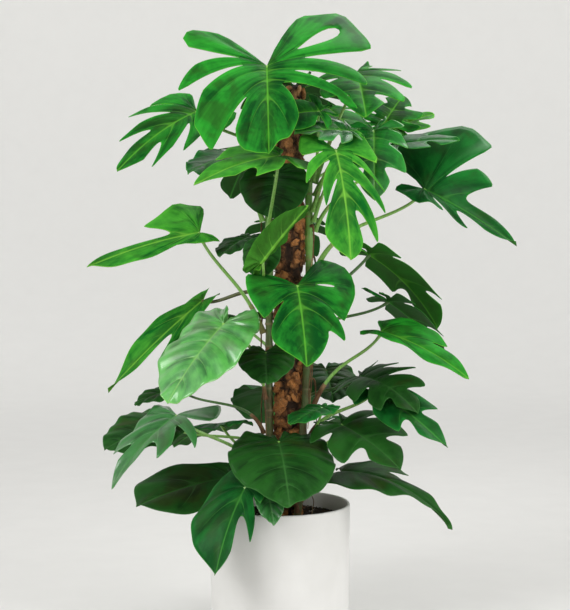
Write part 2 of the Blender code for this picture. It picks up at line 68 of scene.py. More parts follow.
def add_camera():
    data = bpy.data.cameras.new("view")
    data.lens = LENS
    data.sensor_width = SENSOR
    camera = bpy.data.objects.new("view", data)
    camera.location = CAMERA_PLACE
    camera.rotation_euler = (CAMERA_TARGET - CAMERA_PLACE).to_track_quat("-Z", "Y").to_euler()
    bpy.context.scene.collection.objects.link(camera)
    bpy.context.scene.camera = camera
    return camera


print("camera looks down", round(90 - math.degrees(add_camera().rotation_euler.x), 2), "degrees")

# %% [markdown]
# ## Shader maths
# A procedural material is a small program made of nodes. Wiring dozens of Math nodes by hand is
# hard to read, so `Wave` wraps one socket and lets Python's own operators add the nodes:
# `1 - mask * 0.5` makes two of them. `Finish` holds a material and adds any other node.

# %% Shader helpers


class Wave:
    """A value in a material: using an operator on it adds a Math node."""

    def __init__(self, finish, socket):
        self.finish = finish
        self.socket = socket

    def maths(self, operation, *values, clamp=False):
        settings = {"operation": operation, "use_clamp": clamp}
        return self.finish.node("ShaderNodeMath", settings, dict(enumerate(values)))

    def __add__(self, other):
        return self.maths("ADD", self, other)

    __radd__ = __add__

    def __sub__(self, other):
        return self.maths("SUBTRACT", self, other)

    def __rsub__(self, other):
        return self.maths("SUBTRACT", other, self)

    def __mul__(self, other):
        return self.maths("MULTIPLY", self, other)

    __rmul__ = __mul__

    def __truediv__(self, other):
        return self.maths("DIVIDE", self, other)

    def __rtruediv__(self, other):
        return self.maths("DIVIDE", other, self)

    def __pow__(self, other):
        return self.maths("POWER", self, other)

    def __abs__(self):
        return self.maths("ABSOLUTE", self)

    def most(self, other):
        return self.maths("MAXIMUM", self, other)

    def fold(self, period):
        """Distance to the nearest multiple of a period."""
        return self.maths("PINGPONG", self + period * 1000, period / 2)

    def ramp(self, low, high):
        """0 below low and 1 above high, smoothly; the other way round when low is the larger."""
        settings = {"interpolation_type": "SMOOTHSTEP"}
        if low < high:
            return self.finish.node("ShaderNodeMapRange", settings, {0: self, 1: low, 2: high})
        return 1 - self.finish.node("ShaderNodeMapRange", settings, {0: self, 1: high, 2: low})


class Finish:
    """One material. node() adds a node from its type, settings and inputs, and gives a Wave."""

    def __init__(self, name, **constants):
        self.material = bpy.data.materials.new(name)
        self.material.use_nodes = True
        self.tree = self.material.node_tree
        self.shader = self.tree.nodes["Principled BSDF"]
        for socket, value in constants.items():
            self.set(socket, value)

    def node(self, kind, settings=None, inputs=None, output=0):
        made = self.tree.nodes.new(kind)
        for key, value in (settings or {}).items():
            if key == "stops":
                elements = made.color_ramp.elements
                while len(elements) < len(value):
                    elements.new(1.0)
                for element, (place, colour) in zip(elements, value):
                    element.position = place
                    element.color = (*colour, 1.0)
            else:
                setattr(made, key, value)
        for key, value in (inputs or {}).items():
            self.join(made.inputs[key], value)
        return Wave(self, made.outputs[output])

    def join(self, socket, value):
        if isinstance(value, Wave):
            self.tree.links.new(value.socket, socket)
        elif socket.type == "RGBA" and len(value) == 3:
            socket.default_value = (*value, 1.0)
        else:
            socket.default_value = value

    def set(self, socket, value):
        self.join(self.shader.inputs[socket.replace("_", " ")], value)

    def place(self):
        """The point's place on the object, in metres."""
        return self.node("ShaderNodeTexCoord", output="Object")

    def attribute(self, name, output="Fac"):
        return self.node("ShaderNodeAttribute", {"attribute_name": name}, output=output)

    def scaled(self, vector, scale):
        """A vector stretched by three factors."""
        return self.node("ShaderNodeVectorMath", {"operation": "MULTIPLY"}, {0: vector, 1: scale})

    def noise(self, vector, scale, detail=3.0, rough=0.5, bend=0.0):
        inputs = {"Vector": vector, "Scale": scale, "Detail": detail, "Roughness": rough}
        inputs["Distortion"] = bend
        return self.node("ShaderNodeTexNoise", {}, inputs)

    def cells(self, vector, scale, feature="F1", output="Distance"):
        inputs = {"Vector": vector, "Scale": scale}
        return self.node("ShaderNodeTexVoronoi", {"feature": feature}, inputs, output)

    def mix(self, amount, first, second, blend="MIX"):
        settings = {"data_type": "RGBA", "blend_type": blend, "clamp_factor": True}
        return self.node("ShaderNodeMix", settings, {0: amount, 6: first, 7: second}, output=2)

    def relief(self, height, distance, strength=1.0):
        """Sends a height to the shader's Normal through a Bump node."""
        inputs = {"Height": height, "Distance": distance, "Strength": strength}
        self.set("Normal", self.node("ShaderNodeBump", {}, inputs))


print("shader helpers ready")

# %% [markdown]
# ## Geometry Nodes helpers
# Stalks, stems and roots follow a path, the planter is a profile turned on its axis, and fibres
# and crumbs repeat by the hundred. Geometry Nodes suits all three. `Grower` builds one tree with
# named inputs. `grow` runs the tree on a start mesh, keeps the result as a plain mesh and takes
# the modifier away again, so that what is left needs nothing live.

# %% Geometry Nodes helpers


class Grower:
    """One Geometry Nodes tree with named inputs."""

    def __init__(self, name, **sizes):
        self.tree = bpy.data.node_groups.new(name, "GeometryNodeTree")
        face = self.tree.interface
        face.new_socket("Geometry", in_out="INPUT", socket_type="NodeSocketGeometry")
        face.new_socket("Geometry", in_out="OUTPUT", socket_type="NodeSocketGeometry")
        face.new_socket("Finish", in_out="INPUT", socket_type="NodeSocketMaterial")
        self.identifiers = {"Finish": face.items_tree["Finish"].identifier}
        for key, value in sizes.items():
            kind = "NodeSocketInt" if isinstance(value, int) else "NodeSocketFloat"
            socket = face.new_socket(key, in_out="INPUT", socket_type=kind)
            socket.default_value = value
            self.identifiers[key] = socket.identifier
        self.start = self.tree.nodes.new("NodeGroupInput")
        self.end = self.tree.nodes.new("NodeGroupOutput")

    def get(self, name):
        return self.start.outputs[name]

    def node(self, kind, settings=None, inputs=None):
        made = self.tree.nodes.new(kind)
        for key, value in (settings or {}).items():
            setattr(made, key, value)
        for key, value in (inputs or {}).items():
            if isinstance(value, bpy.types.NodeSocket):
                self.tree.links.new(value, made.inputs[key])
            else:
                made.inputs[key].default_value = value
        return made

    def maths(self, operation, *values):
        made = self.node("ShaderNodeMath", {"operation": operation}, dict(enumerate(values)))
        return made.outputs[0]

    def finish(self, geometry):
        """Ends the tree in Realize Instances and Set Material."""
        real = self.node("GeometryNodeRealizeInstances", {}, {0: geometry})
        coat = self.node("GeometryNodeSetMaterial", {}, {0: real.outputs[0], 2: self.get("Finish")})
        self.tree.links.new(coat.outputs[0], self.end.inputs[0])
        return self


def new_object(name, mesh):
    piece = bpy.data.objects.new(name, mesh)
    bpy.context.scene.collection.objects.link(piece)
    return piece


def path_mesh(name, points):
    """A chain of edges through points, as the start of a sweep."""
    mesh = bpy.data.meshes.new(name)
    edges = [(k, k + 1) for k in range(len(points) - 1)]
    mesh.from_pydata([tuple(p) for p in points], edges, [])
    return mesh


def grow(name, grower, start_mesh, finish, **sizes):
    """Runs a tree on a start mesh and keeps the result as a plain mesh."""
    seed = new_object(f"{name}_start", start_mesh)
    modifier = seed.modifiers.new("grow", "NODES")
    modifier.node_group = grower.tree
    modifier[grower.identifiers["Finish"]] = finish.material
    for key, value in sizes.items():
        modifier[grower.identifiers[key]] = value
    graph = bpy.context.evaluated_depsgraph_get()
    mesh = bpy.data.meshes.new_from_object(seed.evaluated_get(graph))
    seed.modifiers.remove(modifier)
    bpy.data.objects.remove(seed, do_unlink=True)
    mesh.name = name
    return mesh


def hand_in(piece, slot, *nodes):
    """Ties a finished piece to the frame."""
    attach(piece, "root")
    if nodes:
        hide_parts(*nodes)
    piece.data.calc_loop_triangles()
    print(f"{piece.name}: {len(piece.data.loop_triangles)} triangles")
    return piece


print("geometry helpers ready")

# %% [markdown]
# ## Sizes shared by the planter, pole and stems
# The frame gives the outer boxes of the CAD solids. The few sizes that a box can't give, such as
# the wall of the planter and the routes of the climbing stems, are repeated here in metres.

# %% Sizes
pot_low, pot_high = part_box("pot")
pole_low, pole_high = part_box("coir_pole")
soil_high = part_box("soil")[1]
POT_RADIUS = (pot_high[0] - pot_low[0]) / 2
POT_HEIGHT = pot_high[2]
POT_FOOT = 0.137
POT_WALL = 0.006
POT_FLOOR = 0.010
SOIL_LEVEL = soil_high[2]
POLE_X = (pole_low[0] + pole_high[0]) / 2
POLE_RADIUS = (pole_high[0] - pole_low[0]) / 2
POLE_TOP = pole_high[2]
CLEARANCE = 0.0004

# Climbing stems: name, radius, top, and the route as (angle round the pole, height) pairs
STEM_FOOT = 0.190
STEMS = {
    "left": (0.0080, 0.900, ((215, 0.19), (200, 0.35), (188, 0.52), (196, 0.70), (186, 0.90))),
    "right": (0.0080, 0.905, ((292, 0.19), (305, 0.35), (330, 0.52), (352, 0.70), (345, 0.905))),
    "back": (0.0085, 1.030, ((95, 0.19), (85, 0.40), (100, 0.65), (88, 0.85), (100, 1.03))),
}


def stem_point(stem, height):
    """A point on a stem's axis: the stem hugs the pole as it climbs."""
    radius, _, route = STEMS[stem]
    heights = [h for _, h in route]
    angle = math.radians(float(np.interp(height, heights, [a for a, _ in route])))
    away = POLE_RADIUS + radius + CLEARANCE * 3
    return np.array((POLE_X + away * math.cos(angle), away * math.sin(angle), height))


print("planter radius", round(POT_RADIUS, 4), "soil at", round(SOIL_LEVEL, 4))

# %% [markdown]
# ## The leaves of this plant
# Each leaf is a row: where its stalk meets the blade, which way the midrib points, how long and
# wide the blade is, how it droops and curls, and how its margin is cut. The rows are the same
# ones that the CAD leaves were built from, so each fine leaf lies exactly on its CAD solid.
# A leaf's cut margin is written as pairs of lobes, because that is how a monstera leaf grows:
# holes form between the side veins, and most of them tear through to the edge as slits.

# %% Outlines
# An outline is the basal shoulders, right and left, and then one row for each pair of lobes:
# where its vein leaves the midrib, the right and left tips, and the slit after each lobe.
# A slit begins at a part of the way to the margin and has a width; a third number closes it.
CROWN = [
    ((0.12, -0.11), (0.075, -0.21)),
    (0.00, (0.175, -0.035), (0.165, -0.18), (0.30, 0.30), (0.35, 0.24, 0.82)),
    (0.00, (0.17, 0.105), (0.215, -0.04), (0.28, 0.30), (0.34, 0.30)),
    (0.02, (0.14, 0.19), (0.185, 0.095), None, (0.30, 0.30)),
    (0.05, (0.10, 0.245), (0.15, 0.17), (0.45, 0.24), (0.22, 0.50)),
    (0.10, (0.05, 0.245), (0.045, 0.205), None, None),
]
CENTRE = [
    ((0.085, -0.055), (0.07, -0.11)),
    (0.00, (0.095, 0.02), (0.12, -0.02), None, (0.30, 0.10, 0.62)),
    (0.02, (0.07, 0.09), (0.085, 0.09), (0.45, 0.22), (0.75, 0.16)),
    (0.06, (0.06, 0.14), (0.075, 0.14), None, (0.72, 0.12)),
]
HANG = [
    ((0.05, -0.05), (0.05, -0.05)),
    (0.00, (0.075, 0.02), (0.085, 0.04), (0.35, 0.25), (0.35, 0.25)),
    (0.01, (0.065, 0.08), (0.085, 0.10), (0.30, 0.30), (0.30, 0.30)),
    (0.05, (0.035, 0.135), (0.07, 0.15), (0.30, 0.30), (0.30, 0.30)),
    (0.10, (0.045, 0.18), (0.055, 0.20), None, (0.35, 0.25)),
]
FAR_RIGHT = [
    ((0.040, -0.04), (0.045, -0.12)),
    (0.00, (0.045, 0.03), (0.165, -0.035), None, None),
    (0.01, (0.040, 0.09), (0.145, 0.060), (0.45, 0.20), (0.32, 0.20)),
    (0.05, (0.030, 0.15), (0.055, 0.135), (0.45, 0.25), (0.45, 0.30)),
]
UPPER_LEFT = [
    ((0.08, -0.05), (0.06, -0.05)),
    (0.00, (0.12, 0.04), (0.085, 0.05), (0.40, 0.25), (0.45, 0.20)),
    (0.02, (0.085, 0.115), (0.08, 0.14), (0.35, 0.30), (0.35, 0.30)),
    (0.07, (0.05, 0.175), (0.05, 0.19), (0.40, 0.25), (0.50, 0.20)),
]
LOBED = [
    ((0.055, -0.025), (0.045, -0.075)),
    (0.00, (0.065, 0.02), (0.100, 0.010), None, (0.30, 0.35)),
    (0.015, (0.060, 0.08), (0.100, 0.080), None, (0.35, 0.35)),
    (0.06, (0.040, 0.15), (0.050, 0.135), (0.55, 0.20), (0.40, 0.30)),
]
POT_FRONT = [
    ((0.05, -0.05), (0.03, -0.04)),
    (0.00, (0.08, 0.06), (0.055, 0.055), None, (0.50, 0.30)),
    (0.03, (0.065, 0.13), (0.05, 0.13), None, (0.40, 0.30)),
]
LOW_LEFT = [
    ((0.04, -0.04), (0.05, -0.03)),
    (0.00, (0.070, 0.05), (0.070, 0.05), None, None),
    (0.075, (0.070, 0.17), (0.065, 0.14), None, None),
]
LEFT = [
    ((0.075, -0.045), (0.03, -0.03)),
    (0.00, (0.085, 0.02), (0.030, 0.05), None, None),
    (0.03, (0.036, 0.13), (0.030, 0.15), (0.30, 0.40), None),
]
LEFT_EDGE = [
    ((0.015, -0.03), (0.02, -0.03)),
    (0.00, (0.028, 0.05), (0.030, 0.07), None, (0.60, 0.20)),
    (0.05, (0.032, 0.15), (0.035, 0.18), None, (0.40, 0.30)),
]
LIGHT = [
    ((0.04, -0.04), (0.05, -0.05)),
    (0.00, (0.07, 0.04), (0.085, 0.05), None, (0.35, 0.30)),
    (0.04, (0.05, 0.13), (0.05, 0.12), (0.60, 0.20), (0.60, 0.20)),
]
TAIL = [
    ((0.05, -0.04), (0.05, -0.04)),
    (0.00, (0.085, 0.04), (0.080, 0.05), None, None),
    (0.04, (0.050, 0.115), (0.055, 0.13), None, (0.60, 0.20)),
    (0.10, (0.022, 0.18), (0.022, 0.19), None, None),
]
RIGHT_LIGHT = [
    ((0.03, -0.03), (0.05, -0.04)),
    (0.00, (0.040, 0.04), (0.080, 0.04), None, None),
    (0.05, (0.030, 0.13), (0.055, 0.13), None, (0.60, 0.16)),
]

# %% Leaves
# name: node; at: where the stalk meets the blade; aim: heading, pitch down and roll in degrees;
# size: length and width; bend: droop along the midrib; cross: fold at the midrib and curl to
# the margin; outline: rows as above, or a number of lobe pairs on a heart (0 is uncut);
# seed: varies those; back: lengthens the basal lobes; stem: which stem and how high on it;
# rise: how far the stalk climbs beside the stem before it leaves; finish, stalk and tint: its
# colours, where finish also picks a lit or shaded copy (painted light and shade); puff: how
# high the tissue stands between veins; wave: how much the margin waves
Leaf = namedtuple(
    "Leaf",
    "name at aim size bend cross outline stem seed back rise finish stalk tint puff wave",
    defaults=(0, 1.0, 0.45, "shaded", "bright", 0.0, 0.0027, 0.026),
)
LEAVES = (
    Leaf("leaf_crown", (-0.025, -0.07, 1.12), (-88, 48, 0), (0.24, 0.44), 20, (20, -40),
         CROWN, ("back", 1.00),
         finish="sunlit", tint=0.0),
    Leaf("leaf_right_behind", (0.152, 0.035, 1.118), (-86, 32, 0), (0.19, 0.21), 20, (8, -30),
         4, ("right", 0.895), 6, 1.5, 0.8,
         finish="sunlit", tint=0.1),
    Leaf("leaf_upper_left", (-0.165, 0.03, 1.04), (-140, 33, 26), (0.23, 0.24), 30, (6, -25),
         UPPER_LEFT, ("back", 0.91),
         finish="sunlit", tint=-0.05),
    Leaf("leaf_finger", (-0.070, -0.005, 0.95), (-119, 11, 12), (0.21, 0.10), 20, (10, -15),
         0, ("left", 0.82), 5,
         finish="shaded"),
    Leaf("leaf_upright", (0.21, 0.115, 1.015), (60, -35, -20), (0.12, 0.15), 20, (6, -25),
         4, ("back", 0.86), 7,
         finish="sunlit", tint=-0.1),
    Leaf("leaf_far_right", (0.283, -0.02, 0.885), (-38, 28, -38), (0.235, 0.30), 15, (22, -18),
         FAR_RIGHT, ("right", 0.72),
         finish="shaded", tint=0.1, wave=0.03),
    Leaf("leaf_right_back", (0.225, 0.0, 0.97), (-8, -4, -20), (0.13, 0.13), 20, (10, -20),
         3, ("right", 0.80), 9,
         finish="shaded", tint=0.1),
    Leaf("leaf_hanging", (0.105, -0.158, 0.955), (-76, 64, 0), (0.23, 0.19), 30, (6, -30),
         HANG, ("right", 0.84),
         finish="fresh", tint=0.0),
    Leaf("leaf_glossy", (0.182, -0.055, 0.998), (-92, 60, 0), (0.16, 0.14), 25, (8, -20),
         4, ("right", 0.87), 11,
         finish="polished", tint=0.15),
    Leaf("leaf_light", (0.002, -0.13, 0.945), (-138, 16, 22), (0.22, 0.16), 25, (8, -20),
         LIGHT, ("left", 0.74), rise=0.2,
         finish="fresh", tint=0.25),
    Leaf("leaf_middle", (0.078, -0.080, 1.032), (-168, 12, 34), (0.12, 0.14), 25, (8, -20),
         3, ("right", 0.90), 13,
         finish="sunlit", tint=0.0),
    Leaf("leaf_cluster", (0.132, -0.115, 0.992), (-165, 4, 26), (0.11, 0.12), 25, (8, -20),
         4, ("right", 0.82), 51,
         finish="polished", tint=0.0),
    Leaf("leaf_cluster_back", (0.10, 0.10, 1.05), (-60, 35, 0), (0.14, 0.14), 25, (8, -20),
         3, ("back", 0.93), 52, 1.3,
         finish="sunlit", tint=0.1),
    Leaf("leaf_behind_upright", (0.235, 0.15, 1.01), (20, -20, -20), (0.10, 0.12), 20, (8, -20),
         3, ("back", 0.83), 53,
         finish="fresh", tint=0.3),
    Leaf("leaf_shade", (-0.010, -0.044, 0.915), (-105, 86, 0), (0.09, 0.14), 25, (8, -20),
         0, ("left", 0.84), 14,
         finish="deep", tint=0.2),
    Leaf("leaf_left", (-0.155, -0.05, 0.80), (-155, 16, 42), (0.24, 0.17), 20, (10, -30),
         LEFT, ("left", 0.60),
         finish="fresh", tint=0.1),
    Leaf("leaf_small_dark", (-0.062, 0.03, 0.79), (-122, 20, 0), (0.11, 0.08), 20, (8, -20),
         0, ("left", 0.69), 16,
         finish="deep", stalk="dark"),
    Leaf("leaf_heart_dark", (-0.034, -0.064, 0.775), (-110, 80, 0), (0.066, 0.08), 20, (8, -20),
         0, ("left", 0.68), 17,
         finish="deep", tint=0.3),
    Leaf("leaf_young", (-0.035, -0.115, 0.742), (-42, -42, 20), (0.16, 0.07), 10, (40, 0),
         0, ("left", 0.65), 18,
         finish="fresh", tint=0.2),
    Leaf("leaf_centre", (0.033, -0.12, 0.70), (-82, 50, 0), (0.19, 0.24), 30, (8, -35),
         CENTRE, ("right", 0.60),
         finish="sunlit", tint=-0.15),
    Leaf("leaf_glossy_heart", (-0.106, -0.12, 0.628), (-133, 44, 8), (0.205, 0.175), 20, (5, -20),
         0, ("left", 0.52), 20,
         finish="waxy", tint=0.35, puff=0.0032),
    Leaf("leaf_left_edge", (-0.154, 0.02, 0.664), (-150, 40, 34), (0.27, 0.10), 15, (14, -30),
         LEFT_EDGE, ("left", 0.66),
         finish="fresh", stalk="olive", tint=-0.1),
    Leaf("leaf_right_dark", (0.177, 0.02, 0.758), (37, 40, 0), (0.25, 0.20), 30, (8, -20),
         3, ("right", 0.62), 22,
         finish="sunlit", stalk="dark", tint=0.2),
    Leaf("leaf_right_dark_low", (0.218, 0.05, 0.662), (36, 42, 0), (0.20, 0.16), 30, (8, -20),
         3, ("back", 0.55), 23,
         finish="shaded", stalk="dark", tint=0.2),
    Leaf("leaf_right_light", (0.199, -0.02, 0.605), (-38, 22, -14), (0.22, 0.16), 25, (14, -30),
         RIGHT_LIGHT, ("right", 0.44), rise=0.6,
         finish="sunlit", tint=0.3),
    Leaf("leaf_small_centre", (-0.027, -0.08, 0.569), (-88, 33, 0), (0.10, 0.11), 25, (8, -20),
         0, ("left", 0.47), 25,
         finish="deep", tint=0.5),
    Leaf("leaf_front_heart", (-0.002, -0.10, 0.398), (-82, 34, 0), (0.18, 0.205), 30, (6, -25),
         0, ("left", 0.33), 26,
         finish="deep", tint=0.3),
    Leaf("leaf_front_small", (0.085, -0.085, 0.462), (-140, 18, 0), (0.09, 0.09), 20, (8, -20),
         0, ("right", 0.36), 27,
         finish="shaded", tint=0.2),
    Leaf("leaf_lobed", (-0.200, -0.08, 0.447), (-133, 36, 6), (0.21, 0.24), 30, (6, -30),
         LOBED, ("left", 0.30),
         finish="sheen", tint=0.6),
    Leaf("leaf_left_small", (-0.200, 0.01, 0.490), (-158, 18, 14), (0.10, 0.07), 20, (8, -20),
         0, ("left", 0.40), 54,
         finish="deep", tint=0.2, stalk="dark"),
    Leaf("leaf_far_left", (-0.232, 0.02, 0.42), (-150, 20, 20), (0.14, 0.14), 20, (8, -20),
         0, ("back", 0.31), 29,
         finish="deep", tint=0.3),
    Leaf("leaf_low_left", (-0.10, 0.0, 0.312), (-160, 14, 24), (0.20, 0.13), 20, (8, -20),
         LOW_LEFT, ("left", 0.27),
         finish="deep", tint=0.25),
    Leaf("leaf_pot_front", (-0.066, -0.13, 0.315), (-117, 52, 0), (0.19, 0.17), 30, (6, -20),
         POT_FRONT, ("left", 0.25),
         finish="shaded", tint=-0.1),
    Leaf("leaf_pot_small", (-0.026, -0.12, 0.318), (-79, 40, 0), (0.10, 0.06), 20, (8, -20),
         0, ("right", 0.25), 32,
         finish="sheen", tint=0.3),
    Leaf("leaf_lower_right", (0.16, 0.015, 0.512), (-50, 20, -22), (0.18, 0.17), 50, (8, -20),
         5, ("back", 0.43), 33,
         finish="deep", tint=0.35, stalk="dark"),
    Leaf("leaf_lower_right_slim", (0.184, -0.02, 0.487), (-48, 25, -22), (0.22, 0.12), 25,
         (8, -20), 3, ("right", 0.39), 37,
         finish="shaded", tint=0.15),
    Leaf("leaf_round", (0.095, 0.135, 0.515), (-80, 38, 0), (0.10, 0.12), 20, (8, -20),
         0, ("back", 0.40), 34,
         finish="deep", stalk="olive"),
    Leaf("leaf_right_wide", (0.120, -0.050, 0.425), (-44, 26, -14), (0.17, 0.20), 25, (8, -20),
         3, ("right", 0.30), 35,
         finish="deep", tint=0.6),
    Leaf("leaf_tail", (0.122, -0.02, 0.326), (-28, 22, -10), (0.265, 0.14), 60, (8, -20),
         TAIL, ("right", 0.28),
         finish="deep", tint=0.3, stalk="dark"),
    Leaf("leaf_back_top", (0.03, 0.13, 1.10), (84, 35, 0), (0.22, 0.24), 35, (8, -30),
         4, ("back", 1.02), 41, 1.4),
    Leaf("leaf_back_left_high", (-0.05, 0.14, 0.97), (112, 32, 0), (0.19, 0.18), 30, (8, -25),
         3, ("back", 0.80), 42),
    Leaf("leaf_back_middle", (0.02, 0.15, 0.82), (96, 35, 0), (0.21, 0.18), 30, (8, -25),
         4, ("back", 0.68), 43),
    Leaf("leaf_back_left_middle", (-0.08, 0.12, 0.62), (128, 32, 0), (0.19, 0.18), 30, (8, -25),
         3, ("back", 0.50), 44),
    Leaf("leaf_back_low", (-0.01, 0.15, 0.47), (92, 32, 0), (0.20, 0.19), 30, (8, -25),
         0, ("back", 0.36), 45),
    Leaf("leaf_back_low_right", (0.15, 0.13, 0.41), (70, 25, 0), (0.18, 0.17), 30, (8, -25),
         3, ("back", 0.28), 46),
    Leaf("leaf_back_low_left", (-0.12, 0.12, 0.40), (132, 22, 0), (0.18, 0.17), 30, (8, -25),
         0, ("back", 0.24), 47),
)
print(len(LEAVES), "leaves")

# %% [markdown]
# ## Blade surface
# A blade could be drawn flat and bent with modifiers. Here its surface is a formula instead, so
# that it is the CAD leaf's own surface: the midrib is an arc, the two halves fold up from it and
# curl down to the margin, and each side vein runs out to its own lobe tip. A grid then follows
# the veins, with columns along them and rows across, which is also the layout that the vein
# pattern in the material needs.

# %% Blade surface
VEIN_SWEEP = 0.33
LOBE_LEAN = 0.75
LOBE_HOOK = 1.6
LOBE_POINT = 1.4
CORNER = 0.22
SLIT_KNOT = 0.2
HEART = np.array(
    [(0, 0), (0.07, -0.11), (0.30, -0.22), (0.62, -0.20), (0.89, -0.03),
     (1.0, 0.21), (0.95, 0.47), (0.74, 0.71), (0.35, 0.91), (0, 1.0)]
)
# Where lobes lie on a heart, in knots, and where their veins leave the midrib
SHOULDER_KNOT = 1.9
FIRST_LOBE = 2.3
LOBE_SPAN = 5.7
LOBE_END = 0.4
VEINS_FROM = 0.45
VEIN_POWER = 1.45
LOBE_SHIFT = 0.15
LOBE_VARY = 0.06
HEART_SLIT = (0.4, 0.08, 0.2)
Lobe = namedtuple("Lobe", "x y place before after")


def spline(knots, places):
    """A smooth curve through the knots, read at places counted in knots."""
    last = len(knots) - 1
    x = np.clip(places, 0, last)
    i = np.minimum(x.astype(int), last - 1)
    f = (x - i)[..., None]
    p1, p2 = knots[i], knots[i + 1]
    p0 = np.where((i > 0)[..., None], knots[np.maximum(i - 1, 0)], 2 * p1 - p2)
    p3 = np.where((i < last - 1)[..., None], knots[np.minimum(i + 2, last)], 2 * p2 - p1)
    cubic = (3 * p1 - p0 - 3 * p2 + p3) * f**3
    return 0.5 * (2 * p1 + (p2 - p0) * f + (2 * p0 - 5 * p1 + 4 * p2 - p3) * f**2 + cubic)


def leaf_directions(aim):
    """Directions along the midrib, to the blade's right, and out of its upper face."""
    heading, pitch, roll = (math.radians(a) for a in aim)
    along = np.array(
        (math.cos(pitch) * math.cos(heading), math.cos(pitch) * math.sin(heading), -math.sin(pitch))
    )
    level = np.array((math.sin(heading), -math.cos(heading), 0.0))
    up = np.cross(level, along)
    right = math.cos(roll) * level + math.sin(roll) * up
    return along, right, np.cross(right, along)


def on_blade(leaf, x, y):
    """Points of the curved blade for flat leaf positions x across and y along."""
    along, right, up = leaf_directions(leaf.aim)
    length, width = leaf.size
    turn = math.radians(leaf.bend) / length
    start = -math.radians(leaf.bend) / 2
    angle = start + turn * y
    forward = (np.sin(angle) - math.sin(start)) / turn
    raised = (np.cos(angle) - math.cos(start)) / turn
    spine = forward[..., None] * along + raised[..., None] * up
    normal = np.sin(angle)[..., None] * along + np.cos(angle)[..., None] * up
    fold = math.radians(leaf.cross[0])
    curl = math.radians(leaf.cross[1] or 1) / (width / 2)
    edge = fold + curl * np.abs(x)
    out = np.sign(x) * (np.sin(edge) - math.sin(fold)) / curl
    lift = (math.cos(fold) - np.cos(edge)) / curl
    return np.array(leaf.at) + spine + out[..., None] * right + lift[..., None] * normal


def vein_start(place, length):
    """Where on the midrib the vein to a part of the way round a heart begins."""
    return length * np.maximum(0, (place - VEINS_FROM) / (1 - VEINS_FROM)) ** VEIN_POWER


def heart_outline(leaf):
    """Rows for a heart-shaped blade with a number of pairs of lobes."""
    length, width = leaf.size
    chance = random.Random(leaf.seed)
    begin, vary, gap = HEART_SLIT
    first = spline(HEART, np.array(SHOULDER_KNOT)) * (width / 2, length * leaf.back)
    rows = [(tuple(first), tuple(first))]
    for k in range(leaf.outline):
        place = FIRST_LOBE + LOBE_SPAN * k / (leaf.outline - LOBE_END)
        place += chance.uniform(-LOBE_SHIFT, LOBE_SHIFT)
        x, y = spline(HEART, np.array(place)) * (width / 2, length)
        y *= leaf.back if y < 0 else 1
        vein = vein_start(place / (len(HEART) - 1), length)
        tips = [(x * (1 + chance.uniform(-LOBE_VARY, LOBE_VARY)), y) for _ in range(2)]
        slits = [(begin + chance.uniform(-vary, vary), gap) for _ in range(2)]
        rows.append((vein, *tips, *slits))
    return rows


def half_outline(leaf, side):
    """Margin knots (x, y, where the vein starts), lobe limits and slits of one half."""
    length, width = leaf.size
    if leaf.outline == 0:
        knots = HEART * (width / 2, length)
        knots[:, 1] *= np.where(knots[:, 1] < 0, leaf.back, 1)
        veins = vein_start(np.arange(len(HEART)) / (len(HEART) - 1), length)
        return np.column_stack([knots, veins]), [0, len(HEART) - 1], []
    rows = leaf.outline if isinstance(leaf.outline, list) else heart_outline(leaf)
    knots = [(0, 0, 0), (*rows[0][side], 0)]
    knots += [(*row[1 + side], row[0]) for row in rows[1:]] + [(0, length, length)]
    limits = [0] + [2 + k + SLIT_KNOT for k in range(len(rows) - 1)] + [len(knots) - 1]
    return np.array(knots, float), limits, [row[3 + side] for row in rows[1:]]


def opening(slit, s):
    """How far a slit has opened, in knots, at parts s of the way to the margin."""
    if slit is None:
        return 0 * s
    begin, gap = slit[:2]
    if len(slit) == 3:
        middle, half = (begin + slit[2]) / 2, (slit[2] - begin) / 2
        return gap * np.sqrt(np.clip(1 - ((s - middle) / half) ** 2, 0, 1))
    return gap * np.sqrt(np.clip((s - begin) / (1 - begin), 0, 1))


def rounding(slit, s):
    """How much of a lobe's corner is cut away beside an open slit."""
    if slit is None or len(slit) == 3:
        return 0 * s
    return CORNER * np.clip((s - slit[0]) / (1 - slit[0]), 0, 1)


def lobes(leaf, side, columns, plain_columns, s):
    """Flat grids of each lobe of one half, with s as the parts of the way to the margin."""
    knots, limits, slits = half_outline(leaf, side)
    s = s[None, :]
    for k in range(len(limits) - 1):
        count = columns if slits else plain_columns * len(HEART)
        t = np.linspace(-1, 1, count)[:, None]
        before = slits[k - 1] if k else None
        after = slits[k] if k < len(slits) else None
        low = limits[k] + opening(before, s)
        high = limits[k + 1] - opening(after, s)
        place = (low + high) / 2 + t * (high - low) / 2
        lean = (t - LOBE_LEAN) / np.where(t > LOBE_LEAN, LOBE_HOOK * (1 - LOBE_LEAN), 1 + LOBE_LEAN)
        cut = np.where(t > LOBE_LEAN, rounding(after, s), rounding(before, s))
        part = s * (1 - cut * np.abs(lean) ** LOBE_POINT)
        margin = spline(knots, place)
        mx, my, vein = margin[..., 0], margin[..., 1], margin[..., 2].clip(0, leaf.size[0])
        bow = vein + (0.5 - VEIN_SWEEP) * (my - vein)
        x = part * (1 - part) * mx + part**2 * mx
        y = (1 - part) ** 2 * vein + 2 * part * (1 - part) * bow + part**2 * my
        yield Lobe(x, y, place, before, after)

print("blade surface ready")

# %% [markdown]
# ## From grid to living blade
# A real blade isn't a smooth sheet. The side veins lie in shallow valleys and the tissue between
# them puffs up, the margin waves, and under the blade the midrib stands out as a ridge. Each of
# these is a small move along the surface normal. The numbers that the material needs later are
# kept on the mesh: how far a point is from the midrib and from the nearest cut edge, whether it
# is on the underside, and the leaf's own tint.

